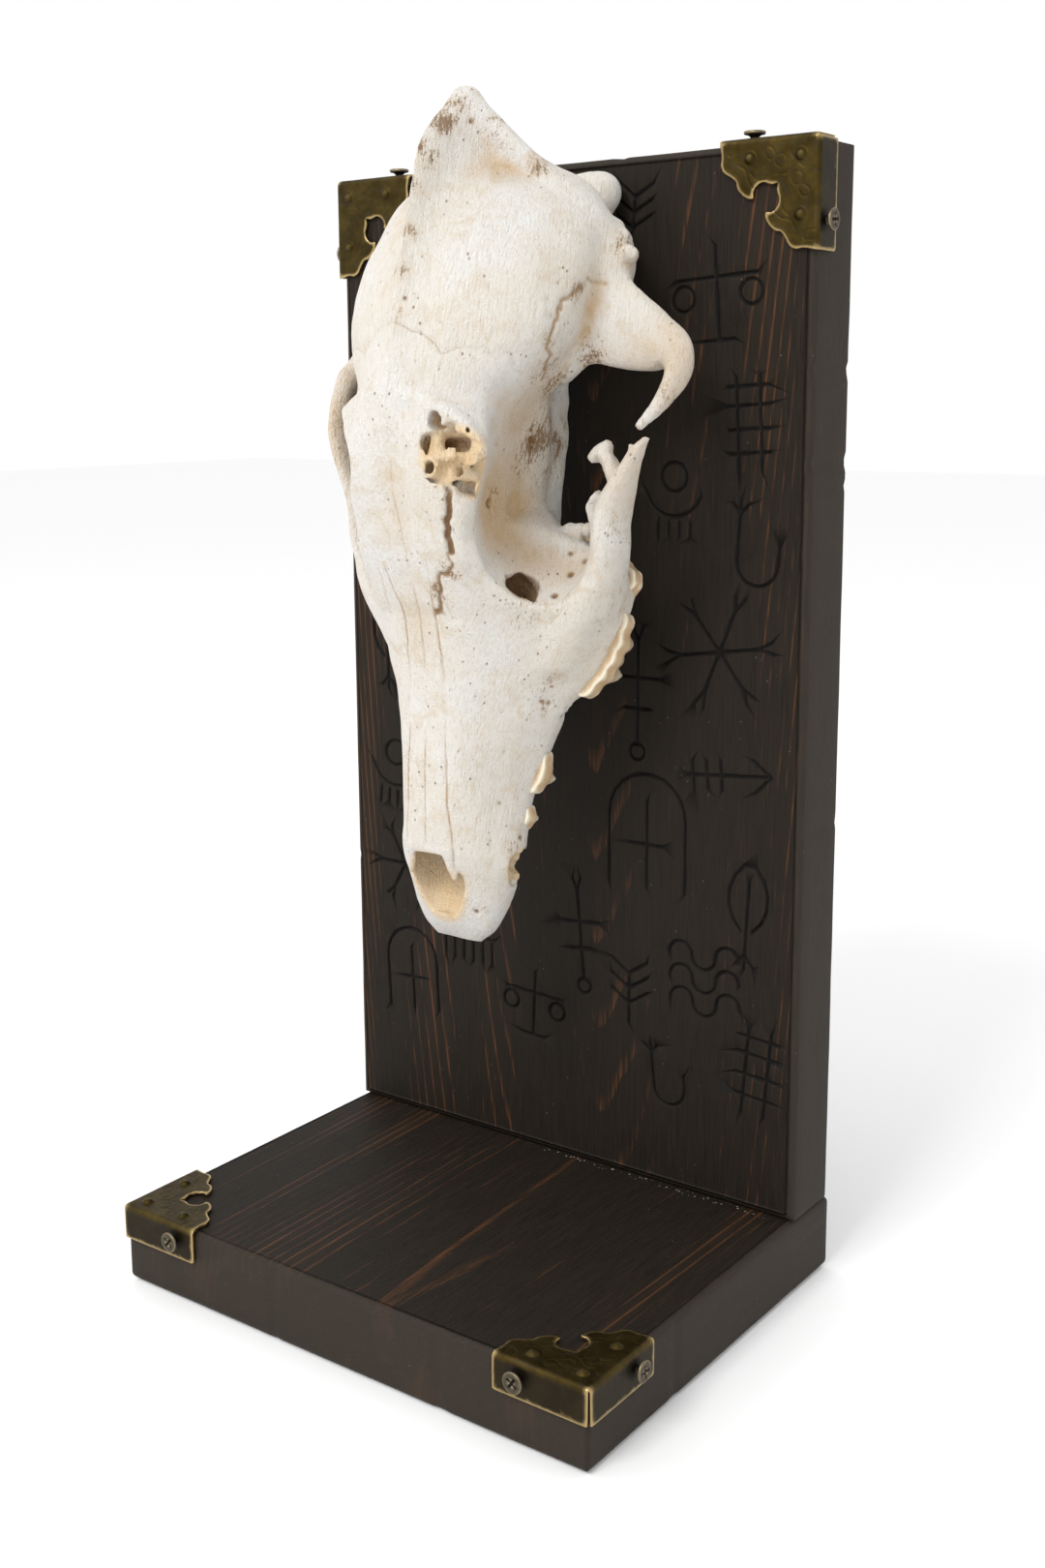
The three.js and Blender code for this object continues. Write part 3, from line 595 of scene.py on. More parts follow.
    "mastoidLump": (1.9, 1.9, 2.6),
    "noseInside": ((0, 21, 11.6), (8.6, 19, 7.2)),
    "spineHole": ((0, 168, 18.5), (8.6, 26, 7.2)),
    "choana": ((0, 106, 6.6), (7.6, 16, 5.4)),
    "socketHole": ((20, 83.4, 24.4), (3.6, 4, 5)),  # broken through the front wall of the eye socket
    "sinus": ((16, 80, 22), (6, 7.5, 6)),
    "brow": [((16.4, 107.6, 52.4), (7.6, 6.6, 5)), ((21, 104, 47.5), (4.6, 5, 5.4))],
    "browHole": ((12.2, 115, 54), (1.6, 2, 3.4)),
    "canine": ((17.4, 19.2, 0.6), (5, 5.2, 7)),
    "premolarGap": ((23.4, 57.4, 0), (2.4, 5.4, 2.2)),
    "pits": [  # centre, radius
        ((12.7, 101.3, 32), 0.9), ((13.6, 118.4, 22.6), 1.2), ((14.6, 116.6, 22), 0.8),
        ((14, 120.6, 24), 0.7),
        ((21, 58.9, 11.4), 0.5), ((21.8, 58.6, 9.6), 0.5), ((20.8, 57.4, 10), 0.45),
        ((15.7, 26.6, 4.3), 0.7),
        ((8.9, 7.5, 8.3), 0.6), ((-8.6, 8, 8.4), 0.5), ((23.1, 58.4, 3.4), 0.7), ((22.2, 56.3, 3.1), 0.7),
        ((26.1, 82.7, 19.9), 0.7), ((27, 88, 15.6), 0.6), ((29.4, 91.6, 14), 0.45),
        ((24.6, 93, 13.4), 0.5),
        ((2.1, 140.9, 59), 0.5), ((27.1, 145.3, 40.6), 0.45), ((3.8, 184.7, 47.5), 0.5),
        ((29.6, 151.6, 30), 0.5),
        ((27.6, 73, 9), 0.5), ((16.6, 45.6, 15.4), 0.4), ((14.8, 34, 12.6), 0.45), ((13.2, 25, 13), 0.45),
        ((-21, 58.9, 11.4), 0.6), ((-26.1, 82.7, 19.9), 0.7), ((-12.7, 101.3, 32), 0.9),
        ((-13.8, 118, 22.4), 1.3),
    ],
    # lines worn into the surface: path, half width, depth, tone, sideways swing, mirrored
    "lines": [
        ([(0, 106, 53.2), (-0.2, 97, 49.4), (0.6, 92, 47), (0.8, 84, 42.4), (0, 73, 34.3), (0, 56, 28.2),
          (-0.2, 34, 23), (0, 22, 20)], 0.3, 0.35, 0.65, 0.15, False),
        ([(6.6, 86, 44), (5.2, 78, 38), (4.6, 73.6, 34.6), (5, 65, 30.8), (5.1, 52, 26.9),
          (5.6, 40, 23.8),
          (5.9, 32, 21.9), (6.7, 25.6, 19.8), (7, 17, 16.8)], 0.32, 0.45, 0.75, 0.15, True),
        ([(8, 90, 46.4), (8, 85, 43.2), (8.4, 79, 38.4), (9.2, 74, 34.4)], 0.3, 0.3, 0.55, 0.2, True),
        ([(15, 103.4, 50.6), (15.4, 99.6, 50.6), (14.8, 95.7, 49), (13.8, 92.7, 47.4), (13.6, 89.8, 45.7),
          (13.6, 87.4, 44.3)], 0.5, 2.6, 1.0, 0.7, False),
        ([(13.6, 87.4, 44.3), (11.9, 84, 42), (9.1, 81.8, 40.7), (7, 77.6, 37.7), (5.4, 74, 34.8)],
         0.36, 1.2, 1.0, 1.2, False),
        ([(0.3, 135.5, 59.9), (4.3, 134.3, 57.8), (6.9, 133.8, 56.8), (9.5, 131.1, 55.7),
          (11.6, 130.2, 54.7),
          (13.8, 131, 53.5), (17.2, 131.9, 51.3), (18.8, 132.3, 50), (19.9, 130.9, 48.5),
          (21, 130.4, 46.6),
          (22.5, 132.3, 44.9), (22.5, 130, 42.4), (22.3, 128.8, 38.8)], 0.42, 0.3, 0.52, 0.8, True),
        ([(29.9, 154, 24), (29.4, 152.9, 28.9), (29.2, 149.8, 31.8), (28.9, 148.5, 34.8),
          (28.2, 144.9, 36.8),
          (27.7, 141.8, 36.8), (27, 138.6, 36.7), (25.9, 135.7, 35.5), (24.6, 133.7, 33.5),
          (22, 130, 30)],
         0.6, 0.5, 0.9, 1.1, True),
        ([(0.4, 13, 6), (0.2, 8, 10), (0, 3, 6.6)], 0.3, 0.4, 0.4, 0.2, False),
        ([(26, 76, 20), (29, 82, 19), (33, 88, 18)], 0.4, 0.3, 0.5, 0.5, True),
    ],
    # old dirt: place, reach, strength
    "tanned": [  # place, reach, strength
        ((-46, 124, 21), 24, 0.4), ((46, 136, 17), 16, 0.35), ((42, 112, 21), 12, 0.35),
        ((14, 108, 30), 16, 0.35),
    ],
    "stains": [
        ((1.4, 182, 54.4), 4.5, 1.0), ((1, 174, 57.4), 4.5, 0.8), ((0.5, 166, 59.2), 3.5, 0.6),
        ((0.5, 156, 59.6), 3.5, 0.55), ((0.4, 147, 60), 3.5, 0.55), ((0.6, 138, 59.8), 3, 0.45),
        ((0, 188, 50), 6, 0.5), ((8, 184, 43), 5, 0.5), ((16, 177, 35), 5, 0.5),
        ((28.6, 150, 33), 4, 0.8), ((26.4, 137, 35.6), 4, 0.6), ((24, 132, 31), 7, 0.65),
        ((22, 128, 24), 8, 0.7),
        ((13.4, 118, 21), 8, 1.0), ((13, 122, 16), 7, 0.9), ((12.4, 112, 15), 6, 0.6),
        ((11.6, 120, 8), 9, 0.7), ((15, 112, 25), 6, 0.5), ((13, 103, 31), 5, 0.5),
        ((28, 139, 20), 7, 0.6), ((36, 140, 16), 5, 0.4), ((30, 164, 20), 6, 0.7), ((17, 176, 8), 5, 0.8),
        ((16, 108, 50), 8, 0.7), ((11, 109, 53), 4, 0.8), ((11.6, 84, 41.6), 4, 0.7),
        ((8, 79, 38.4), 4, 0.7),
        ((19.6, 88, 38), 4, 0.3), ((22, 78, 26), 7, 0.35), ((23, 62, 12), 6, 0.4),
        ((27.4, 74, 8), 5, 0.5),
        ((20, 57, 11), 3.5, 0.6), ((15, 25, 6), 4, 0.5), ((10, 8, 8), 2.6, 0.5), ((30, 92, 15), 6, 0.35),
        ((-24, 132, 31), 7, 0.6), ((-14, 119, 22), 7, 0.8), ((-17, 176, 8), 5, 0.8),
        ((-30, 164, 20), 6, 0.6),
        ((-46, 126, 21), 12, 0.3), ((-43, 113, 21), 12, 0.3), ((-39, 101, 18), 12, 0.3),
        ((46, 131, 18), 11, 0.45), ((37, 100, 18), 9, 0.35), ((34, 84, 10), 8, 0.35),
        ((47, 122, 23), 6, 0.4), ((12, 150, 0), 8, 0.5), ((-12, 150, 0), 8, 0.5),
        ((0, 178, 26), 9, 0.5), ((0, 140, 11), 12, 0.4), ((0, 70, 3), 16, 0.3),
    ],
}


def skullMatrix():
    turn = Matrix.Rotation(math.pi / 2 - skull["tilt"], 4, "X")
    move = Matrix.Translation(Vector((0, backFace - skull["noseOff"], skull["noseHeight"])) * mm)
    return move @ turn @ Matrix.Scale(mm, 4)


def skullField():
    soft, uneven = skull["soft"], skull["uneven"]
    block = Block((-53, -3, -8), (53, 195, 63), skull["voxel"])
    block.join(block.fromMesh(*halfLoft(skull["muzzle"])), soft["muzzle"])
    block.join(block.fromMesh(*halfLoft(skull["braincase"])), soft["braincase"])
    block.join(block.fromMesh(*halfLoft(skull["crest"], 120, 30)), soft["crest"])
    for side in (1, -1):
        (x, s, v), radii = skull["orbit"]
        block.cut(block.oval((side * x, s, v), radii), soft["orbit"])
    for side in (1, -1):
        cheek = skull["cheek"] + skull["cheekBroken" if side > 0 else "cheekWhole"]
        w, part = block.fromMesh(*ovalBar(cheek, side))
        # crisp only where it stands free
        block.join((w, part), 0.4 + 4.6 * fold(112, 100, block.axes(w)[1]))
        w, part = block.fromMesh(*ovalBar(skull["arch"], side))
        block.join((w, part), 0.4 + 4.1 * fold(124, 138, block.axes(w)[1]))
        for key in ("nuchalCrest", "browRidge", "pterygoid", "paroccipital"):
            made = block.fromMesh(*ovalBar(skull[key], side))
            block.join(block.rough(made, *uneven[key]) if key in uneven else made, soft[key])
        for key in ("bulla", "condyle", "knob", "mastoid", "gapFillet", "orbitFloor"):
            (x, s, v), radii = skull[key]
            block.join(block.oval((side * x, s, v), radii), soft[key])
        for x, s, v in skull["floorLumps"]:
            block.join(block.oval((side * x, s, v), skull["floorLump"]), soft["floorLumps"])
        block.cut(block.fromMesh(*ovalBar(skull["neckNotch"], side, 30)), soft["neckNotch"])
        for x, s, v in skull["mastoidLumps"]:
            lump = block.oval((side * x, s, v), skull["mastoidLump"])
            block.join(block.rough(lump, *uneven["mastoidLumps"]), soft["mastoidLumps"])
    scoop = block.fromMesh(*ovalBar(skull["rightBrow"], -1))
    block.cut(block.rough(scoop, *uneven["rightBrow"]), soft["rightBrow"])
    for path in skull["prongs"]:
        splinter = block.fromMesh(*ovalBar(path, 1, 30))
        block.join(block.rough(splinter, *uneven["prongs"]), soft["prongs"])
    block.cut(block.fromMesh(*halfLoft(skull["nose"], 60, 30)), soft["nose"])
    for side in (1, -1):
        block.join(block.fromMesh(*ovalBar(skull["nasalTip"], side, 30)), soft["nasalTip"])
    for key in ("spineHole", "choana"):
        block.cut(block.oval(*skull[key]), soft[key])
    return block


def skullLines(block):
    for path, half, depth, tone, swing, mirrored in skull["lines"]:
        for side in (1, -1) if mirrored else (1,):
            count = int(np.linalg.norm(np.diff(path, axis=0), axis=1).sum() / 0.6)
            line = throughPoints(path, count) * (side, 1, 1)
            at = line.astype(np.float32)
            sideways = np.stack([cloudNoise(at, 1.5, k * 3.1 + side) for k in range(3)], 1)
            yield block.snap(line + swing * sideways), half, depth, tone


def breakOut(block, key):
    block.cut(block.rough(block.oval(*skull[key]), *skull["uneven"][key]), skull["soft"][key])


def wearSkull(block, lines):
    for key in ("sinus", "socketHole"):
        breakOut(block, key)
    for centre, radii in skull["brow"]:  # splinters of bone stay standing in the break
        w, part = block.rough(block.oval(centre, radii), *skull["uneven"]["brow"])
        chips = np.abs(cloudNoise(block.places(w), 3.1, 4.0)).reshape(part.shape)
        block.cut((w, np.maximum(part, (0.2 - chips) * 3)), skull["soft"]["brow"])
    for key in ("browHole", "canine", "premolarGap"):
        breakOut(block, key)
    pits = [(block.snap([centre])[0], radius) for centre, radius in skull["pits"]]
    for at, radius in pits:
        pit = block.oval(at, (radius, radius, radius * 1.5), 2.0)
        block.cut(block.rough(pit, 1.1, 0.2 * radius), 0.3)
    spot, places = block.near(3.0)
    relief = 0.34 * cloudNoise(places, 15) + 0.17 * cloudNoise(places, 6, 2.0)
    relief = relief + 0.08 * cloudNoise(places, 2.6, 5.0)
    for line, half, depth, _ in lines:
        for level in np.arange(0, max(depth - 0.8, 0.1), half):  # a deep crack is cut in several rows
            away = lineDistance(places, block.snap(line, -level), 4 * half)
            relief += max(depth, 2 * half * (level > 0)) * np.exp(-(away / half) ** 2)
    pores = fold(0.45, 0.7, cloudNoise(places, 1.3, 11.0)) * fold(0.1, 0.5, cloudNoise(places, 13, 3.0))
    block.field[spot] += relief + 0.22 * pores
    return pits


def within(points, centre, radii):  # 1 on the oval, less inside it
    return np.linalg.norm((points - np.array(centre, np.float32)) / np.array(radii, np.float32), axis=1)


def patches(points, listed, outer, inner):  # strongest of the listed patches at each point
    total = np.zeros(len(points), np.float32)
    for place, reach, strength in listed:
        away = np.linalg.norm(points - np.array(place, np.float32), axis=1) / reach
        total = np.maximum(total, strength * fold(outer, inner, away))
    return total


def skullMasks(block, points, lines, pits):
    close, wide, shelter = [block.sample(block.fullness(r), points) for r in (1.3, 4.5, 10)]
    seam = np.zeros(len(points), np.float32)
    for line, half, _, tone in lines:
        away = lineDistance(points, line, 5 * half) / (1.15 * half)
        seam = np.maximum(seam, tone * np.exp(-away ** 2))
    # deep: painted shade, dark brown where the bone is deeply concave, inside breaks and holes, in pits and
    # along deep cracks
    deep = fold(0.66, 0.82, wide)
    for key in ("sinus", "socketHole", "browHole"):
        deep = np.maximum(deep, fold(1.12, 0.8, within(points, *skull[key])))
    fresh = fold(1.15, 0.95, within(points, *skull["noseInside"]))
    for centre, radii in [skull["canine"]] + skull["brow"]:
        inside = within(points, centre, radii)
        fresh = np.maximum(fresh, fold(1.2, 0.9, inside))
        deep = np.maximum(deep, fold(1.2, 0.8, inside) * fold(0.5, 0.75, close) * 0.9)
    for at, radius in pits:
        away = np.linalg.norm(points - at, axis=1)
        deep = np.maximum(deep, fold(2.1 * radius, radius, away) * fold(0.48, 0.6, close))
    for line, half, depth, _ in lines:
        if depth > 0.9:
            away = lineDistance(points, line, depth + 3 * half)
            deep = np.maximum(deep, fold(depth + 2 * half, 0.6 * depth, away) * fold(0.48, 0.58, close))
    # painted shade: tan darkening where the bone is concave, from the solid fullness about each point,
    # joined with the tan patches of old dirt
    hollowShadeAndTan = fold(0.53, 0.72, close) * 0.5 + fold(0.5, 0.72, wide) * 0.5 + fold(0.42, 0.6, shelter) * 0.8
    hollowShadeAndTan = np.maximum(np.clip(hollowShadeAndTan, 0, 1), patches(points, skull["tanned"], 1.2, 0.3))
    stain = patches(points, skull["stains"], 1.3, 0.1)
    return {"seam": seam, "stain": stain, "deep": deep, "hollowShadeAndTan": hollowShadeAndTan, "fresh": fresh}


def boneFinish():
    f = Finish("bone")
    at = f.place()
    broad = f.noise(at, 0.045, 4, 0.6)
    blotch = f.noise(at, 0.16, 5, 0.65, 0.6)
    fibre = f.noise(f.stretch(at, (1.7, 0.28, 1.7)), 1.0, 5, 0.62, 0.5)
    grit = f.noise(at, 1.9, 4, 0.65)
    hollowShadeAndTan, stain, seam, deep, fresh = [f.mask(k) for k in ("hollowShadeAndTan", "stain", "seam", "deep", "fresh")]

    colour = f.mix(f.step(broad, 0.35, 0.68), (0.79, 0.77, 0.735), (0.76, 0.705, 0.625))
    colour = f.mix(f.step(blotch, 0.50, 0.72) * 0.45, colour, (0.64, 0.50, 0.33))
    colour = f.mix(f.step(fibre, 0.48, 0.72) * 0.45, colour, (0.60, 0.48, 0.33))
    # tan painted shade in the hollows, together with the tan of the old dirt patches
    colour = f.mix(hollowShadeAndTan * (0.6 + 0.55 * blotch), colour, (0.58, 0.385, 0.19))
    colour = f.mix(stain * f.step(blotch, 0.28, 0.66) * 0.65, colour, (0.60, 0.42, 0.23))
    mud = 0.42 * fibre + 0.26 * grit + 0.32 * blotch
    dirt = f.step(mud + 0.17 * stain, 0.575, 0.665) * f.step(stain, 0.02, 0.4)
    colour = f.mix(dirt * 0.85, colour, (0.22, 0.125, 0.06))
    dots = f.cells(f.stretch(at, (1, 0.7, 1)), 0.5)
    specks = f.step(dots, 0.15, 0.06) * f.step(f.noise(at, 0.12, 3), 0.45, 0.6)
    colour = f.mix(specks * 0.75, colour, (0.34, 0.20, 0.095))
    colour = f.mix(fresh * (0.35 + 0.8 * blotch), colour, (0.80, 0.58, 0.32))
    colour = f.mix(f.step(seam, 0.2, 0.8) * (0.65 + 0.5 * grit), colour, (0.40, 0.25, 0.125))
    # painted shade: near-black brown in deep hollows, holes, pits and cracks
    colour = f.mix(deep * (0.6 + 0.5 * blotch), colour, (0.27, 0.14, 0.05))
    height = fibre * 0.6 + grit * 0.55 - specks * 0.6
    f.shade(Base_Color=colour, Roughness=0.56 + 0.2 * grit, Normal=f.bump(height, 0.9, 0.0014))
    f.shade(Specular_IOR_Level=0.25)
    return f


def makeSkull():
    block = skullField()
    lines = list(skullLines(block))
    pits = wearSkull(block, lines)
    points, tris, quads = block.mesh()
    print("skull surface", len(points), len(quads))
    keep = np.zeros(len(points), np.float32)
    for line, half, _, _ in lines:
        keep = np.maximum(keep, fold(3 * half, 1.5 * half, lineDistance(points, line, 4 * half)))
    points, tris = thinned("skullDraft", points, tris, quads, skull["triangles"], keep)
    masks = skullMasks(block, points, lines, pits)
    piece = addPiece("boneSkull", points, tris, noQuads, boneFinish(), masks, skullMatrix())
    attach(piece, "root")
    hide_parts("skull")
    print("skull made", len(tris))


makeSkull()


# teeth, each a field of cusps over a low body

teeth = {
    "voxel": 0.24,
    "root": 4.0,
    "triangles": 5000,
    # place across and along the jaw, turn in degrees, half length, half width, cusp heights from the front
    "premolar_1": (14.6, 31.5, 4, 2.6, 1.7, (1.2, 3.6, 1.6)),
    "premolar_2": (16.8, 42.6, 10, 4.8, 2, (1.6, 5.6, 3, 1.4)),
    "carnassial": (30.2, 72, 23, 10.2, 3.8, (3.4, 9.6, 6.2, 7.4, 3)),
    "molar_1": (29.8, 89, -12, 5.6, 6.6, (3.4, 5.6, 5.2, 3.2)),
    "molar_2": (22.6, 98.2, -6, 3, 4.6, (2.2, 3.4, 2)),
}


def toothField(reach, wide, crowns):
    high = max(crowns)
    block = Block((-wide - 1, -reach - 1, -high - 1), (wide + 1, reach + 1, teeth["root"] + 1),
                  teeth["voxel"])
    n = len(crowns)
    for i, crown in enumerate(crowns):
        share = i / (n - 1) * 2 - 1
        across = wide * math.sqrt(1 - 0.62 * share * share)
        along = reach / (n - 1) * 1.25
        centre = share * (reach - 0.7 * along)
        low = np.maximum(-block.z, 0) / crown
        girth = np.sqrt((block.x / across) ** 2 + ((block.y - centre) / along) ** 2)
        cusp = (girth + 0.85 * low ** 1.5 + 0.15 * low - 1) * min(across, along) * 0.8
        whole = tuple(slice(0, int(c)) for c in block.count)
        block.join((whole, cusp.astype(np.float32)), 1.1)
    block.field = np.maximum(block.field, block.z - teeth["root"] + 0.4)
    spot, places = block.near(1.0)
    block.field[spot] += 0.10 * cloudNoise(places, 2.2) + 0.05 * cloudNoise(places, 0.9, 4.0)
    return block


def toothFinish():
    f = Finish("enamel")
    at = f.place()
    gum, worn = f.mask("gum"), f.mask("worn")
    broad = f.noise(at, 0.35, 4, 0.6)
    streak = f.noise(f.stretch(at, (2.2, 2.2, 0.4)), 1.0, 4, 0.6)
    colour = f.mix(f.step(broad, 0.35, 0.7), (0.70, 0.58, 0.42), (0.78, 0.70, 0.57))
    colour = f.mix(gum * (0.45 + 0.6 * streak), colour, (0.47, 0.30, 0.14))
    colour = f.mix(worn * 0.8, colour, (0.85, 0.78, 0.62))
    colour = f.mix(f.step(streak, 0.64, 0.78) * 0.5, colour, (0.33, 0.19, 0.08))
    f.shade(Base_Color=colour, Roughness=0.24 + 0.25 * broad, Normal=f.bump(streak, 0.2, 0.0002))
    f.shade(Coat_Weight=0.3, Coat_Roughness=0.2)
    return f


def makeTeeth():
    finish = toothFinish()
    total = 0
    for name in ("premolar_1", "premolar_2", "carnassial", "molar_1", "molar_2"):
        x, s, turn, reach, wide, crowns = teeth[name]
        block = toothField(reach, wide, crowns)
        points, tris, quads = block.mesh()
        points, tris = thinned("toothDraft", points, tris, quads, teeth["triangles"])
        close = block.sample(block.fullness(0.9), points)
        masks = {"gum": fold(-0.8 * max(crowns), 0, points[:, 2]), "worn": fold(0.46, 0.3, close)}
        turn = math.radians(turn)
        for label, side in (("left", 1), ("right", -1)):
            placed = np.empty_like(points)
            placed[:, 0] = side * (x + points[:, 1] * math.sin(turn) + points[:, 0] * math.cos(turn))
            placed[:, 1] = s + points[:, 1] * math.cos(turn) - points[:, 0] * math.sin(turn)
            placed[:, 2] = points[:, 2]
            faces = tris if side > 0 else tris[:, ::-1]
            word = name.replace("_", "") + label.title()
            piece = addPiece(word, placed, faces, noQuads, finish, masks, skullMatrix())
            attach(piece, "root")
            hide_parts(name + "_" + label)
            total += len(tris)
    print("teeth made", total)


makeTeeth()


# carved marks on the back board, drawn on a square from -1 to 1

def bar(*points):
    return [list(points)]


def bow(x, y, radius, start, end):
    turn = np.radians(np.linspace(start, end, max(6, int(abs(end - start) / 15))))
    return [[(x + radius * math.cos(a), y + radius * math.sin(a)) for a in turn]]


def fork(x, y, angle, size=0.3, tines=3):
    made = []
    for k in range(tines):
        lean = math.radians(angle + (k - (tines - 1) / 2) * 42)
        made += bar((x, y), (x + size * math.cos(lean), y + size * math.sin(lean)))
    return made


def comb(x, y, across, count, size):
    places = [x + across * (k / (count - 1) - 0.5) for k in range(count)]
    return sum([bar((a, y), (a, y - size)) for a in places], [])


def spoke(angle, size):
    x, y = size * math.cos(angle), size * math.sin(angle)
    return bar((0, 0), (x, y)) + fork(x, y, math.degrees(angle), 0.26, 2)


marks = {
    "wheel": sum([spoke(a, 0.72) for a in np.radians(range(0, 360, 60))], []),
    "post": (bar((0, -1), (0, 1)) + fork(0, 1, 90, 0.3, 2) + bar((-0.5, 0.3), (0.5, 0.3))
             + bar((-0.3, -0.3), (0.3, -0.3)) + bow(0, -1.15, 0.16, 0, 360)),
    "gate": (bar((-0.8, -0.7), (-0.8, 0.6)) + bar((0.8, -0.7), (0.8, 0.6)) + bow(0, 0.6, 0.8, 0, 180)
             + bar((0, -0.7), (0, 0.9)) + bar((-0.35, 0.1), (0.35, 0.1))),
    "moon": bow(0, 0, 0.8, 200, 340) + bow(0, 0.15, 0.35, 0, 360) + comb(0, -0.95, 0.9, 4, 0.35),
    "arrow": (bar((-0.9, 0), (0.9, 0)) + bar((0.55, 0.3), (0.9, 0), (0.55, -0.3))
              + comb(-0.45, 0.28, 0.6, 3, 0.56)),
    "ladder": (bar((-0.28, -1), (-0.28, 1)) + bar((0.28, -1), (0.28, 1))
               + sum([bar((-0.5, z), (0.5, z)) for z in (-0.6, -0.1, 0.4, 0.8)], [])),
    "seed": (bow(-0.45, 0, 0.9, -50, 50) + bow(0.45, 0, 0.9, 130, 230) + bar((0, -1.2), (0, 0.4))
             + fork(0, -1.2, -90, 0.3, 3)),
    "hook": (bar((-0.6, 0.8), (-0.6, -0.2)) + bow(-0.1, -0.2, 0.5, 180, 360) + bar((0.4, -0.2), (0.4, 0.2))
             + fork(-0.6, 0.8, 90, 0.3, 3)),
    "chevrons": (sum([bar((-0.6, z), (0, z - 0.4), (0.6, z)) for z in (0.9, 0.45, 0)], [])
                 + bar((0, 0.5), (0, -1))),
    "scales": (bar((-0.9, 0.3), (0.9, 0.3)) + bar((0, 0.9), (0, -0.9)) + bow(-0.75, -0.05, 0.24, 0, 360)
               + bow(0.75, -0.05, 0.24, 0, 360) + bar((-0.35, -0.9), (0.35, -0.9))),
    "waves": sum([bow(-0.6, z, 0.3, 0, 180) + bow(0, z, 0.3, 180, 360) + bow(0.6, z, 0.3, 0, 180)
                  for z in (0.45, -0.1, -0.65)], []),
    "comb": comb(0, 0.5, 1.6, 6, 0.7) + bar((-0.9, 0.5), (0.9, 0.5)) + bow(0, 0.5, 0.5, 0, 180),
}

carving = {
    "half": 0.52,  # half width of a cut
    "depth": 0.6,
    # mark, place across and up the board, size, turn
    "placed": [
        ("scales", 45, 244, 12, 4), ("chevrons", 22, 263, 8, -6), ("ladder", 54, 214, 11, 3),
        ("moon", 34, 200, 10, 0),
        ("hook", 58, 184, 11, -4), ("wheel", 47, 160, 15, 8), ("post", 24, 148, 13, 0),
        ("arrow", 50, 130, 13, 5),
        ("gate", 27, 108, 14, 0), ("seed", 56, 100, 12, -3), ("waves", 44, 78, 11, 2),
        ("post", 7, 82, 12, 5),
        ("chevrons", 22, 70, 9, 0), ("ladder", 59, 56, 11, -5), ("hook", 35, 48, 9, 6),
        ("wheel", -52, 92, 12, 0), ("moon", -55, 122, 10, -5), ("arrow", -28, 100, 11, 84),
        ("seed", -57, 158, 11, 0),
        ("comb", -30, 70, 10, 0), ("scales", -8, 60, 10, -3), ("gate", -50, 58, 11, 3),
        ("waves", -58, 196, 8, 90),
    ],
}


def carvedStrokes():
    strokes = []
    for name, x, z, size, turn in carving["placed"]:
        c, s = math.cos(math.radians(turn)), math.sin(math.radians(turn))
        for stroke in marks[name]:
            turned = [(c * a - s * b, s * a + c * b) for a, b in stroke]
            strokes.append(np.array([(x + size * a, z + size * b) for a, b in turned]))
    return strokes


# boards, each a closed skin: two faces, eased edges and sides

board = {
    "sideStep": 1.6,
    "faceStep": 6.0,
    "easeSteps": 4,
    "wave": 0.16,
    "strokeStep": 0.8,
    "screwDent": ((0, 247), [(0, 3.6), (2.4, 3.6), (4.5, 1.5), (4.7, 0), (8, 0)]),  # place, depths by radius
    # chips out of the edges: place, reach, depth
    "uprightNicks": [((halfWide, 226), 1.8, 0.5), ((halfWide, 205), 2.6, 0.45), ((halfWide, 199), 1.4, 0.3),
                     ((-halfWide, 92), 1.6, 0.3), ((18, standTop), 1.8, 0.3), ((halfWide, 118), 1.6, 0.25)],
    "baseNicks": [((halfWide, -20), 2.0, 0.3), ((30, -halfDeep), 2.4, 0.3), ((-20, -halfDeep), 1.6, 0.25)],
}


def rectangle(low, high, inset):
    a, b = np.array(low) + inset, np.array(high) - inset
    n = [max(2, int((h - l) / board["sideStep"])) for l, h in zip(low, high)]
    along = np.linspace(a[0], b[0], n[0], endpoint=False)
    up = np.linspace(a[1], b[1], n[1], endpoint=False)
    return np.vstack([np.stack([along, np.full(n[0], a[1])], 1), np.stack([np.full(n[1], b[0]), up], 1),
                      np.stack([a[0] + b[0] - along, np.full(n[0], b[1])], 1),
                      np.stack([np.full(n[1], a[0]), a[1] + b[1] - up], 1)])


def strokePoints(stroke):  # rows of points along a cut, across its width
    length = np.linalg.norm(np.diff(stroke, axis=0), axis=1)
    steps = [np.linspace(a, b, max(2, int(d / board["strokeStep"])), endpoint=False)
             for a, b, d in zip(stroke[:-1], stroke[1:], length)]
    line = np.vstack(steps + [stroke[-1:]])
    along = np.gradient(line, axis=0)
    across = np.stack([-along[:, 1], along[:, 0]], 1)
    across = across / np.maximum(np.linalg.norm(along, axis=1), 1e-6)[:, None]
    return np.vstack([line + across * carving["half"] * k for k in (-1.5, -1, -0.5, 0, 0.5, 1, 1.5)])


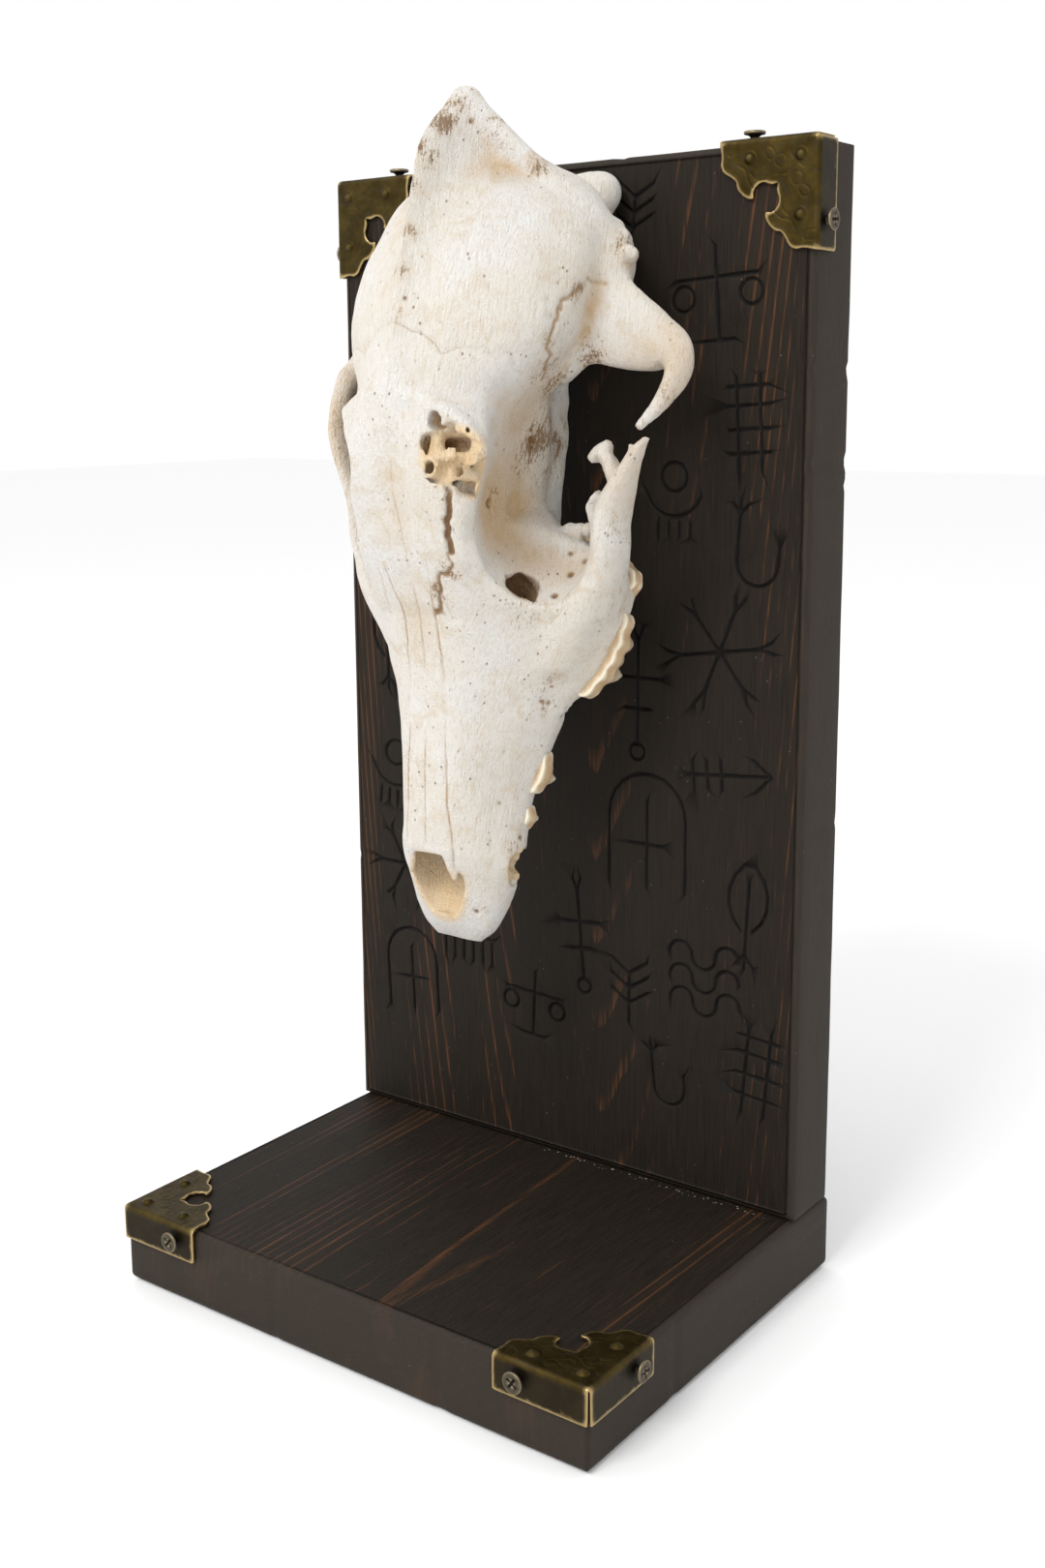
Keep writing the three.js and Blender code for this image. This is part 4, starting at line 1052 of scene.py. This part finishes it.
# flat face inside the ring, sunk along the strokes and in the dent
def faceOf(ring, low, high, strokes, dent):
    inset = stand["eased"] + 1.5
    spans = [np.arange(l + inset, h - inset, board["faceStep"]) for l, h in zip(low, high)]
    grid = np.stack(np.meshgrid(*spans, indexing="ij"), -1).reshape(-1, 2)
    grid = grid + rng.uniform(-1, 1, grid.shape)
    extra = [strokePoints(s) for s in strokes]
    if dent:
        (x, y), profile = dent
        turn = np.linspace(0, 2 * math.pi, 28, endpoint=False)
        extra += [np.stack([x + r * np.cos(turn), y + r * np.sin(turn)], 1) for r, _ in profile]
    points = np.vstack([grid, rectangle(low, high, stand["eased"] + 0.7)] + extra)
    cell = np.unique(np.round(points / 0.22).astype(int), axis=0, return_index=True)[1]
    points = points[np.sort(cell)]
    room = np.all((points > np.array(low) + inset - 0.9) & (points < np.array(high) - inset + 0.9), 1)
    points = np.vstack([ring, points[room]])
    flat, _, tris, *_ = delaunay_2d_cdt([Vector(q) for q in points], [], [], 0, 1e-5)
    flat = np.array([(q.x, q.y) for q in flat])
    away = np.full(len(flat), 9.0, np.float32)
    level = np.column_stack([flat, np.zeros(len(flat))]).astype(np.float32)
    for stroke in strokes:
        path = np.column_stack([stroke, np.zeros(len(stroke))])
        away = np.minimum(away, lineDistance(level, path, 3.0))
    half = carving["half"] * (1 + 0.25 * cloudNoise(level, 2.0))
    sink = carving["depth"] * np.clip(1 - (away / half) ** 2, 0, 1)
    sink = sink * (1 + 0.35 * cloudNoise(level, 3.0, 5.0))
    if dent:
        (x, y), profile = dent
        radius = np.hypot(flat[:, 0] - x, flat[:, 1] - y)
        sink = np.maximum(sink, np.interp(radius, [r for r, d in profile], [d for r, d in profile]))
    cut = fold(1.15, 0.7, away / half)
    return flat, np.array(tris), sink, cut


def boardPiece(name, low, high, thick, toPlace, finish, strokes, backDent, nicks):
    ease = stand["eased"]
    turns = np.linspace(0, math.pi / 2, board["easeSteps"] + 1)
    rows = [(ease * (1 - math.sin(a)), ease * (1 - math.cos(a))) for a in turns]
    rows += [(0.0, thick * k) for k in (0.3, 0.5, 0.7)]
    rows += [(ease * (1 - math.cos(a)), thick - ease + ease * math.sin(a)) for a in turns]
    rings = []
    for inset, depth in rows:
        ring = rectangle(low, high, inset)
        places = np.column_stack([ring, np.full(len(ring), depth)]).astype(np.float32)
        pull = board["wave"] * (0.5 + 0.5 * cloudNoise(places, 9.0)) * (inset < ease * 0.99)
        for (x, y), reach, deep in nicks:
            away = np.hypot(ring[:, 0] - x, ring[:, 1] - y)
            pull += deep * fold(reach, 0.2 * reach, away) * (inset < ease * 0.99)
        middle = (np.array(low) + np.array(high)) / 2
        side = np.abs(ring - middle) > (np.array(high) - np.array(low)) / 2 - inset - 0.01
        places[:, :2] -= np.sign(ring - middle) * side * pull[:, None]
        rings.append(places)
    n = len(rings[0])
    front = faceOf(rings[0][:, :2], low, high, strokes, None)
    back = faceOf(rings[-1][:, :2], low, high, [], backDent)
    middle = np.vstack(rings[1:-1])
    frontPoints = np.column_stack([front[0], front[2]])
    backPoints = np.column_stack([back[0], thick - back[2]])
    points = np.vstack([frontPoints, backPoints, middle])
    between = len(frontPoints) + len(backPoints)
    firstOf = [0] + [between + n * k for k in range(len(rings) - 2)] + [len(frontPoints)]
    i = np.arange(n)
    j = (i + 1) % n
    sides = [np.stack([a + i, b + i, b + j, a + j], 1) for a, b in zip(firstOf[:-1], firstOf[1:])]
    faces = [np.array(front[1])[:, ::-1], np.array(back[1]) + len(frontPoints)]
    masks = {"cut": np.concatenate([front[3], np.zeros(len(points) - len(frontPoints))]),
             "face": np.concatenate([np.ones(len(points) - len(middle)), np.zeros(len(middle))])}
    piece = addPiece(name, toPlace(points), np.vstack(faces), np.vstack(sides), finish, masks,
                     Matrix.Scale(mm, 4))
    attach(piece, "root")
    return piece


# grain: axis along the fibres, then the one across them
def woodFinish(name, grain, across, lean, crumbs):
    f = Finish(name)
    at = f.place()
    cut, face = f.mask("cut"), f.mask("face")
    x, z = [f.node("ShaderNodeSeparateXYZ", None, {0: at}, k) for k in (across, grain)]
    squeeze = {"X": 1.0, "Y": 1.0, "Z": 1.0}
    squeeze[grain] = 0.06
    long = f.stretch(at, tuple(squeeze[k] for k in "XYZ"))
    sway = f.noise(f.stretch(at, tuple(0.25 * squeeze[k] + 0.002 for k in "XYZ")), 0.06, 2, 0.5) - 0.5
    bend = f.noise(long, 0.10, 3, 0.55) - 0.5
    off = x - 14 + 30 * sway
    far = (off * off + 14) ** 0.5
    # arched lines about the middle, straight at the sides
    ring = far + far * far / 36 - lean * z + 7 * bend
    phase = f.node("ShaderNodeMath", {"operation": "FRACT"}, {0: ring / 10.5 + 0.25 * sway})
    fibre = f.noise(long, 1.5, 4, 0.65)
    pores = f.noise(f.stretch(at, tuple(1.0 if k != grain else 0.03 for k in "XYZ")), 3.4, 3, 0.6)
    patch = f.noise(f.stretch(at, tuple(squeeze[k] * 1.2 for k in "XYZ")), 0.05, 3, 0.6)
    band = f.step(phase + 0.5 * (patch - 0.5), 0.74, 0.95) * f.step(phase, 1.0, 0.96)
    bare = band * f.step(patch + 0.5 * (fibre - 0.5), 0.46, 0.68) * (0.25 + 0.75 * face)
    colour = f.mix(fibre, (0.007, 0.0055, 0.004), (0.025, 0.018, 0.012))
    colour = f.mix(f.step(pores, 0.5, 0.75) * 0.55, colour, (0.004, 0.0035, 0.003))
    colour = f.mix(bare * 0.75, colour, (0.115, 0.045, 0.018))
    colour = f.mix(f.step(patch, 0.52, 0.75) * 0.35, colour, (0.050, 0.026, 0.014))
    # side faces painted a paler grey-brown than the faces: partly painted light, partly the edges' own paler
    # tone
    colour = f.mix((1 - face) * (0.2 + 0.4 * fibre), colour, (0.055, 0.043, 0.033))
    dust = f.step(f.cells(at, 0.42), 0.11, 0.05) * f.step(f.noise(at, 0.09, 3), 0.52, 0.66)
    colour = f.mix(dust * 0.35, colour, (0.22, 0.20, 0.18))
    if crumbs:  # pale grit caught along the joint
        strip = f.step(z, backFace - 2.2, backFace - 0.6) * f.step(z, backFace + 0.5, backFace)
        strip = strip * f.step(x, -14, 6) * f.step(x, 66, 62)
        colour = f.mix(strip * f.step(f.cells(at, 0.8), 0.28, 0.16), colour, (0.34, 0.31, 0.27))
    colour = f.mix(cut * 0.92, colour, (0.004, 0.0035, 0.003))
    height = fibre * 0.5 - f.step(pores, 0.5, 0.8) * 0.7 + bare * 0.3
    f.shade(Base_Color=colour, Roughness=0.5 + 0.25 * fibre - 0.08 * bare,
            Normal=f.bump(height, 0.45, 0.0003))
    f.shade(Specular_IOR_Level=0.13)
    return f


def makeBoards():
    thick = stand["thick"]
    upright = boardPiece("carvedBackBoard", (-halfWide, thick), (halfWide, standTop), thick,
                         lambda p: np.stack([p[:, 0], backFace + p[:, 2], p[:, 1]], 1),
                         woodFinish("stainedUpright", "Z", "X", 0.45, False),
                         carvedStrokes(), board["screwDent"], board["uprightNicks"])
    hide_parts("back_board")
    base = boardPiece("baseBoard", (-halfWide, -halfDeep), (halfWide, halfDeep), thick,
                      lambda p: np.stack([p[:, 0], p[:, 1], thick - p[:, 2]], 1),
                      woodFinish("stainedBase", "Y", "X", 0.1, True), [], None, board["baseNicks"])
    base.data.flip_normals()
    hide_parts("base_board")
    print("boards made", len(upright.data.polygons), len(base.data.polygons))


makeBoards()


# brass corners: one bent sheet, placed four times; local axes run along the two arms and out of the face

corner = {
    "voxel": 0.2,
    "triangles": 26000,
    "gap": 0.3,
    "sheet": 0.8,
    "arm": 25.4,
    "flange": 7.7,
    "bend": 1.3,
    "seam": 0.22,
    "bevel": 0.9,
    "rim": [(0, 25.4), (3.9, 24.7), (5.6, 24.9), (7.1, 24.2), (8.4, 22.2), (9.4, 21), (10.9, 20.6),
            (12.5, 19.2),
            (13.4, 17.4), (13.2, 16.5), (11.8, 16.5), (10.4, 15.4), (9.9, 14), (10.5, 12), (10.3, 10.3)],
    "studs": [(3.5, 3.5), (16.3, 3.4), (3.4, 16.3)],
    "stud": (1.3, 0.95),
    # engraved curls on one arm, mirrored on the other
    "curls": [
        [(8, 6.2), (9.4, 7), (11, 6), (10.6, 4.4), (9, 4.2), (8.2, 5.6), (9.4, 6.4)],
        [(10.8, 4.2), (12, 2.6), (13.4, 2.4), (13.6, 4), (12, 5.2), (10.8, 4.2)],
        [(6.2, 6.8), (8.4, 8.4), (11.4, 8.4), (14, 9.4), (15.8, 9.2), (17.4, 7.6)],
        [(14.6, 10.8), (16.4, 11), (18, 9.2), (18.6, 7), (20.6, 5.8)],
        [(20.8, 1), (21.2, 3.2), (22.8, 3.6), (23, 1.4)],
        [(6, 2.4), (7.2, 3.8), (6.4, 5.2)],
    ],
    "curlHalf": 0.2,
    "curlDepth": 0.11,
}


def insideOutline(a, b, outline):  # signed distance to a closed outline, negative inside
    away = np.full(a.shape, 1e3, np.float32)
    odd = np.zeros(a.shape, bool)
    for (x0, y0), (x1, y1) in zip(outline, np.roll(outline, -1, 0)):
        dx, dy = x1 - x0, y1 - y0
        t = np.clip(((a - x0) * dx + (b - y0) * dy) / max(dx * dx + dy * dy, 1e-9), 0, 1)
        away = np.minimum(away, np.hypot(a - x0 - t * dx, b - y0 - t * dy))
        crosses = (y0 > b) != (y1 > b)
        odd ^= crosses & (a < x0 + (b - y0) * dx / (dy if dy else 1e-9))
    return np.where(odd, -away, away)


def cornerField():
    c = corner
    out = c["gap"] + c["sheet"]
    block = Block((-out - 1, -out - 1, -c["flange"] - 1), (c["arm"] + 0.6, c["arm"] + 0.6, out + 2.2),
                  c["voxel"])
    sides = [-out - block.x, -out - block.y, block.z - out]
    bend = c["bend"]
    over = sum(np.maximum(d + bend, 0) ** 2 for d in sides) ** 0.5
    deepest = np.minimum(np.maximum(np.maximum(sides[0], sides[1]), sides[2]) + bend, 0)
    solid = over - bend + deepest
    shell = np.abs(solid + c["sheet"] / 2) - c["sheet"] / 2
    half = throughPoints([(b - out, a - out) for a, b in c["rim"]], 90)
    half[0, 1] = -4
    outline = np.vstack([[(-4, -4)], half, half[-2::-1, ::-1]])
    flat = insideOutline(*np.broadcast_arrays(block.x[:, :, 0], block.y[:, :, 0]), outline)[:, :, None]
    lower = -c["flange"] - block.z
    bevel = c["bevel"]
    ends = np.maximum(np.maximum(block.x, block.y) - (c["arm"] - out), -3)
    foot = np.hypot(np.maximum(ends + bevel, 0), np.maximum(lower + bevel, 0)) - bevel
    foot = foot + np.minimum(np.maximum(ends, lower) + bevel, 0)
    field = np.maximum(np.maximum(shell, flat), foot)
    seam = np.maximum(np.abs(block.x - block.y) - c["seam"] * (1 + 0.12 * np.maximum(-block.z, 0)),
                      block.z - 0.2)
    seam = np.maximum(seam, np.maximum(block.x, block.y) - 1.6)
    block.field = np.maximum(field, -seam).astype(np.float32)
    for a, b in c["studs"]:
        wide, high = c["stud"]
        block.join(block.oval((a, b, out - 0.05), (wide, wide, high), 2.0), 0.5)
    spot, places = block.near(1.2)
    up = fold(out - 0.5, out - 0.15, places[:, 2])
    dent = 0.03 * cloudNoise(places, 5.0) + 0.015 * cloudNoise(places, 1.6, 3.0)
    for curl in c["curls"]:
        smooth = throughPoints(curl, 8 * len(curl)) - 1.1
        for line in (smooth, smooth[:, ::-1]):
            path = np.column_stack([line, np.full(len(line), out)])
            away = lineDistance(places * (1, 1, 0) + (0, 0, out), path, 1.2)
            dent = dent + up * c["curlDepth"] * np.exp(-(away / c["curlHalf"]) ** 2)
    edge = insideOutline(places[:, 0], places[:, 1], outline)
    dent = dent + up * 0.12 * np.exp(-((edge + 1.3) / 0.3) ** 2) * (places.min(1) > 1.0)
    block.field[spot] += dent
    return block


def brassFinish():
    f = Finish("agedBrass")
    at = f.place()
    worn, sunk = f.mask("worn"), f.mask("sunk")
    broad = f.noise(at, 0.16, 4, 0.6)
    blotch = f.noise(at, 0.7, 5, 0.65, 0.5)
    brush = f.noise(f.stretch(at, (0.5, 3.0, 3.0)), 1.4, 3, 0.6)
    colour = f.mix(f.step(broad, 0.35, 0.7), (0.040, 0.027, 0.007), (0.078, 0.054, 0.014))
    colour = f.mix(f.step(blotch, 0.42, 0.72) * 0.6, colour, (0.035, 0.028, 0.017))
    # painted shade: the turned-down flanges, below the front plate, are painted darker than the plate
    height = f.node("ShaderNodeSeparateXYZ", None, {0: at}, 2)
    colour = f.mix(f.step(height, 0.3, -0.8) * 0.75, colour, (0.019, 0.015, 0.011))
    colour = f.mix(sunk * 0.85, colour, (0.018, 0.014, 0.008))
    colour = f.mix(worn * 0.75, colour, (0.55, 0.40, 0.18))
    rough = 0.40 + 0.22 * blotch - 0.16 * worn + 0.06 * brush
    f.shade(Base_Color=colour, Metallic=1.0 - 0.25 * f.step(blotch, 0.5, 0.8), Roughness=rough,
            Normal=f.bump(blotch * 0.5 + brush * 0.5, 0.12, 0.0002))
    return f


corners = {  # wood corner, arm directions and what each flange lies on
    "top_right": ((1, backFace, standTop), ((-1, 0, 0), (0, 0, -1)), ("upper", "side")),
    "top_left": ((-1, backFace, standTop), ((0, 0, -1), (1, 0, 0)), ("side", "upper")),
    "base_right": ((1, -halfDeep, stand["thick"]), ((0, 1, 0), (-1, 0, 0)), ("side", "front")),
    "base_left": ((-1, -halfDeep, stand["thick"]), ((1, 0, 0), (0, 1, 0)), ("front", "side")),
}


def cornerMatrix(name):
    (side, y, z), (a, b), _ = corners[name]
    a, b = Vector(a), Vector(b)
    turn = Matrix((a, b, a.cross(b))).transposed().to_4x4()
    return Matrix.Translation(Vector((side * halfWide, y, z)) * mm) @ turn @ Matrix.Scale(mm, 4)


def titleOf(name):
    return "".join(word.title() for word in name.split("_"))


def makeCorners():
    block = cornerField()
    points, tris, quads = block.mesh()
    points, tris = thinned("cornerDraft", points, tris, quads, corner["triangles"])
    close = block.sample(block.fullness(0.6), points)
    masks = {"worn": fold(0.38, 0.26, close), "sunk": fold(0.54, 0.66, close)}
    finish = brassFinish()
    for name in corners:
        piece = addPiece("corner" + titleOf(name), points, tris, noQuads, finish, masks,
                         cornerMatrix(name))
        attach(piece, "root")
        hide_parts("corner_" + name)
    print("corners made", len(tris))


makeCorners()


# screws: thin cross-slotted heads standing proud of the brass

screw = {
    "voxel": 0.12,
    "triangles": 7000,
    "along": 17.5,
    "down": 3.2,
    "head": 2.5,
    "shank": 1.1,
    "proud": 2.0,
    "depth": 11.0,
    "thread": 0.9,
}


def screwField():
    c = screw
    wide = c["head"] + 0.5
    block = Block((-wide, -c["depth"] - 0.5, -wide), (wide, c["proud"] + 0.5, wide), c["voxel"])
    r = np.hypot(block.x, block.z)
    y = block.y
    crown = c["proud"] - 0.035 * r ** 2
    under = c["proud"] - 0.55 - np.clip(c["head"] - 0.35 - r, 0, 9) * 0.75
    lip = np.maximum(np.abs(y - c["proud"] + 0.45) - 0.12, 0)
    rim = np.hypot(np.maximum(r - c["head"] + 0.25, 0), lip) - 0.25
    head = np.maximum(np.maximum(r - c["head"], y - crown), under - y)
    head = np.minimum(head, np.maximum(rim, r - c["head"]))
    turn = np.arctan2(block.z, block.x) / (2 * math.pi)
    pitch = np.abs((y / c["thread"] + turn) % 1 - 0.5) * 2
    tip = np.clip((y + c["depth"]) / 3, 0, 1)
    shank = np.maximum(r - tip * (c["shank"] - 0.28 + 0.28 * pitch ** 2),
                       np.maximum(y - c["proud"] + 0.6, -c["depth"] - y))
    field = np.minimum(head, shank * 0.8)
    for a, b in ((block.x, block.z), (block.z, block.x)):
        depth = c["proud"] - 1.0 + 0.45 * np.abs(a)
        slot = np.maximum(np.maximum(np.abs(b) - 0.3 - 0.12 * (y - c["proud"] + 0.5), np.abs(a) - 1.45),
                          depth - y)
        field = np.maximum(field, -slot)
    block.field = field.astype(np.float32)
    return block


def screwFinish():
    f = Finish("screwSteel")
    at = f.place()
    worn, sunk = f.mask("worn"), f.mask("sunk")
    blotch = f.noise(at, 0.9, 4, 0.6)
    colour = f.mix(f.step(blotch, 0.35, 0.7), (0.055, 0.045, 0.032), (0.095, 0.078, 0.052))
    colour = f.mix(sunk, colour, (0.02, 0.017, 0.014))
    colour = f.mix(worn * 0.6, colour, (0.36, 0.29, 0.18))
    f.shade(Base_Color=colour, Metallic=0.9, Roughness=0.34 + 0.25 * blotch,
            Normal=f.bump(blotch, 0.1, 0.0002))
    return f


def makeScrews():
    block = screwField()
    points, tris, quads = block.mesh()
    points, tris = thinned("screwDraft", points, tris, quads, screw["triangles"])
    close = block.sample(block.fullness(0.36), points)
    masks = {"worn": fold(0.42, 0.28, close), "sunk": fold(0.54, 0.66, close)}
    finish = screwFinish()
    out = -corner["gap"] - corner["sheet"]
    along, down = screw["along"], screw["down"]
    seats = [Matrix.Translation((along, out, -down)) @ Matrix.Rotation(math.pi, 4, "Z"),
             Matrix.Translation((out, along, -down)) @ Matrix.Rotation(math.pi / 2, 4, "Z")]
    for name, (_, _, flanges) in corners.items():
        for seat, flange in zip(seats, flanges):
            spin = Matrix.Rotation(rng.uniform(0, math.pi), 4, "Y")
            word = "screw" + titleOf(name) + flange.title()
            piece = addPiece(word, points, tris, noQuads, finish, masks, cornerMatrix(name) @ seat @ spin)
            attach(piece, "root")
            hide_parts("screw_" + name + "_" + flange)
    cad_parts["skull_screw"].material_slots[0].material = finish.mat
    print("screws made", len(tris))


makeScrews()


# floor and light

light = {
    "sky": 1.0,
    "floor": 4.0,
    "aim": (0, 0, 0.16),
    # name, place, size, watts
    "lamps": [("key", (0.0, -0.95, 1.05), 0.45, 9), ("fill", (-0.95, -0.5, 0.8), 0.8, 1.5)],
}


def makeStage():
    f = Finish("paleFloor")
    f.shade(Base_Color=(0.95, 0.95, 0.95), Roughness=0.9)
    far = light["floor"]
    edge = [(-far, -far, 0), (far, -far, 0), (far, far, 0), (-far, far, 0)]
    floor = addPiece("floor", edge, np.zeros((0, 3), int), np.array([[0, 1, 2, 3]]), f, smooth=False)
    floor.location.z = -0.0002
    world = bpy.data.worlds.new("studio")
    bpy.context.scene.world = world
    world.use_nodes = True
    sky = world.node_tree.nodes["Background"]
    sky.inputs["Color"].default_value = (1, 1, 1, 1)
    sky.inputs["Strength"].default_value = light["sky"]
    for name, place, size, power in light["lamps"]:
        lamp = bpy.data.lights.new(name, "AREA")
        lamp.energy = power
        lamp.size = size
        holder = bpy.data.objects.new(name, lamp)
        holder.location = place
        aim = Vector(light["aim"]) - Vector(place)
        holder.rotation_euler = aim.to_track_quat("-Z", "Y").to_euler()
        bpy.context.scene.collection.objects.link(holder)
    bpy.context.scene.view_settings.view_transform = "Standard"


makeStage()

print("scene done")
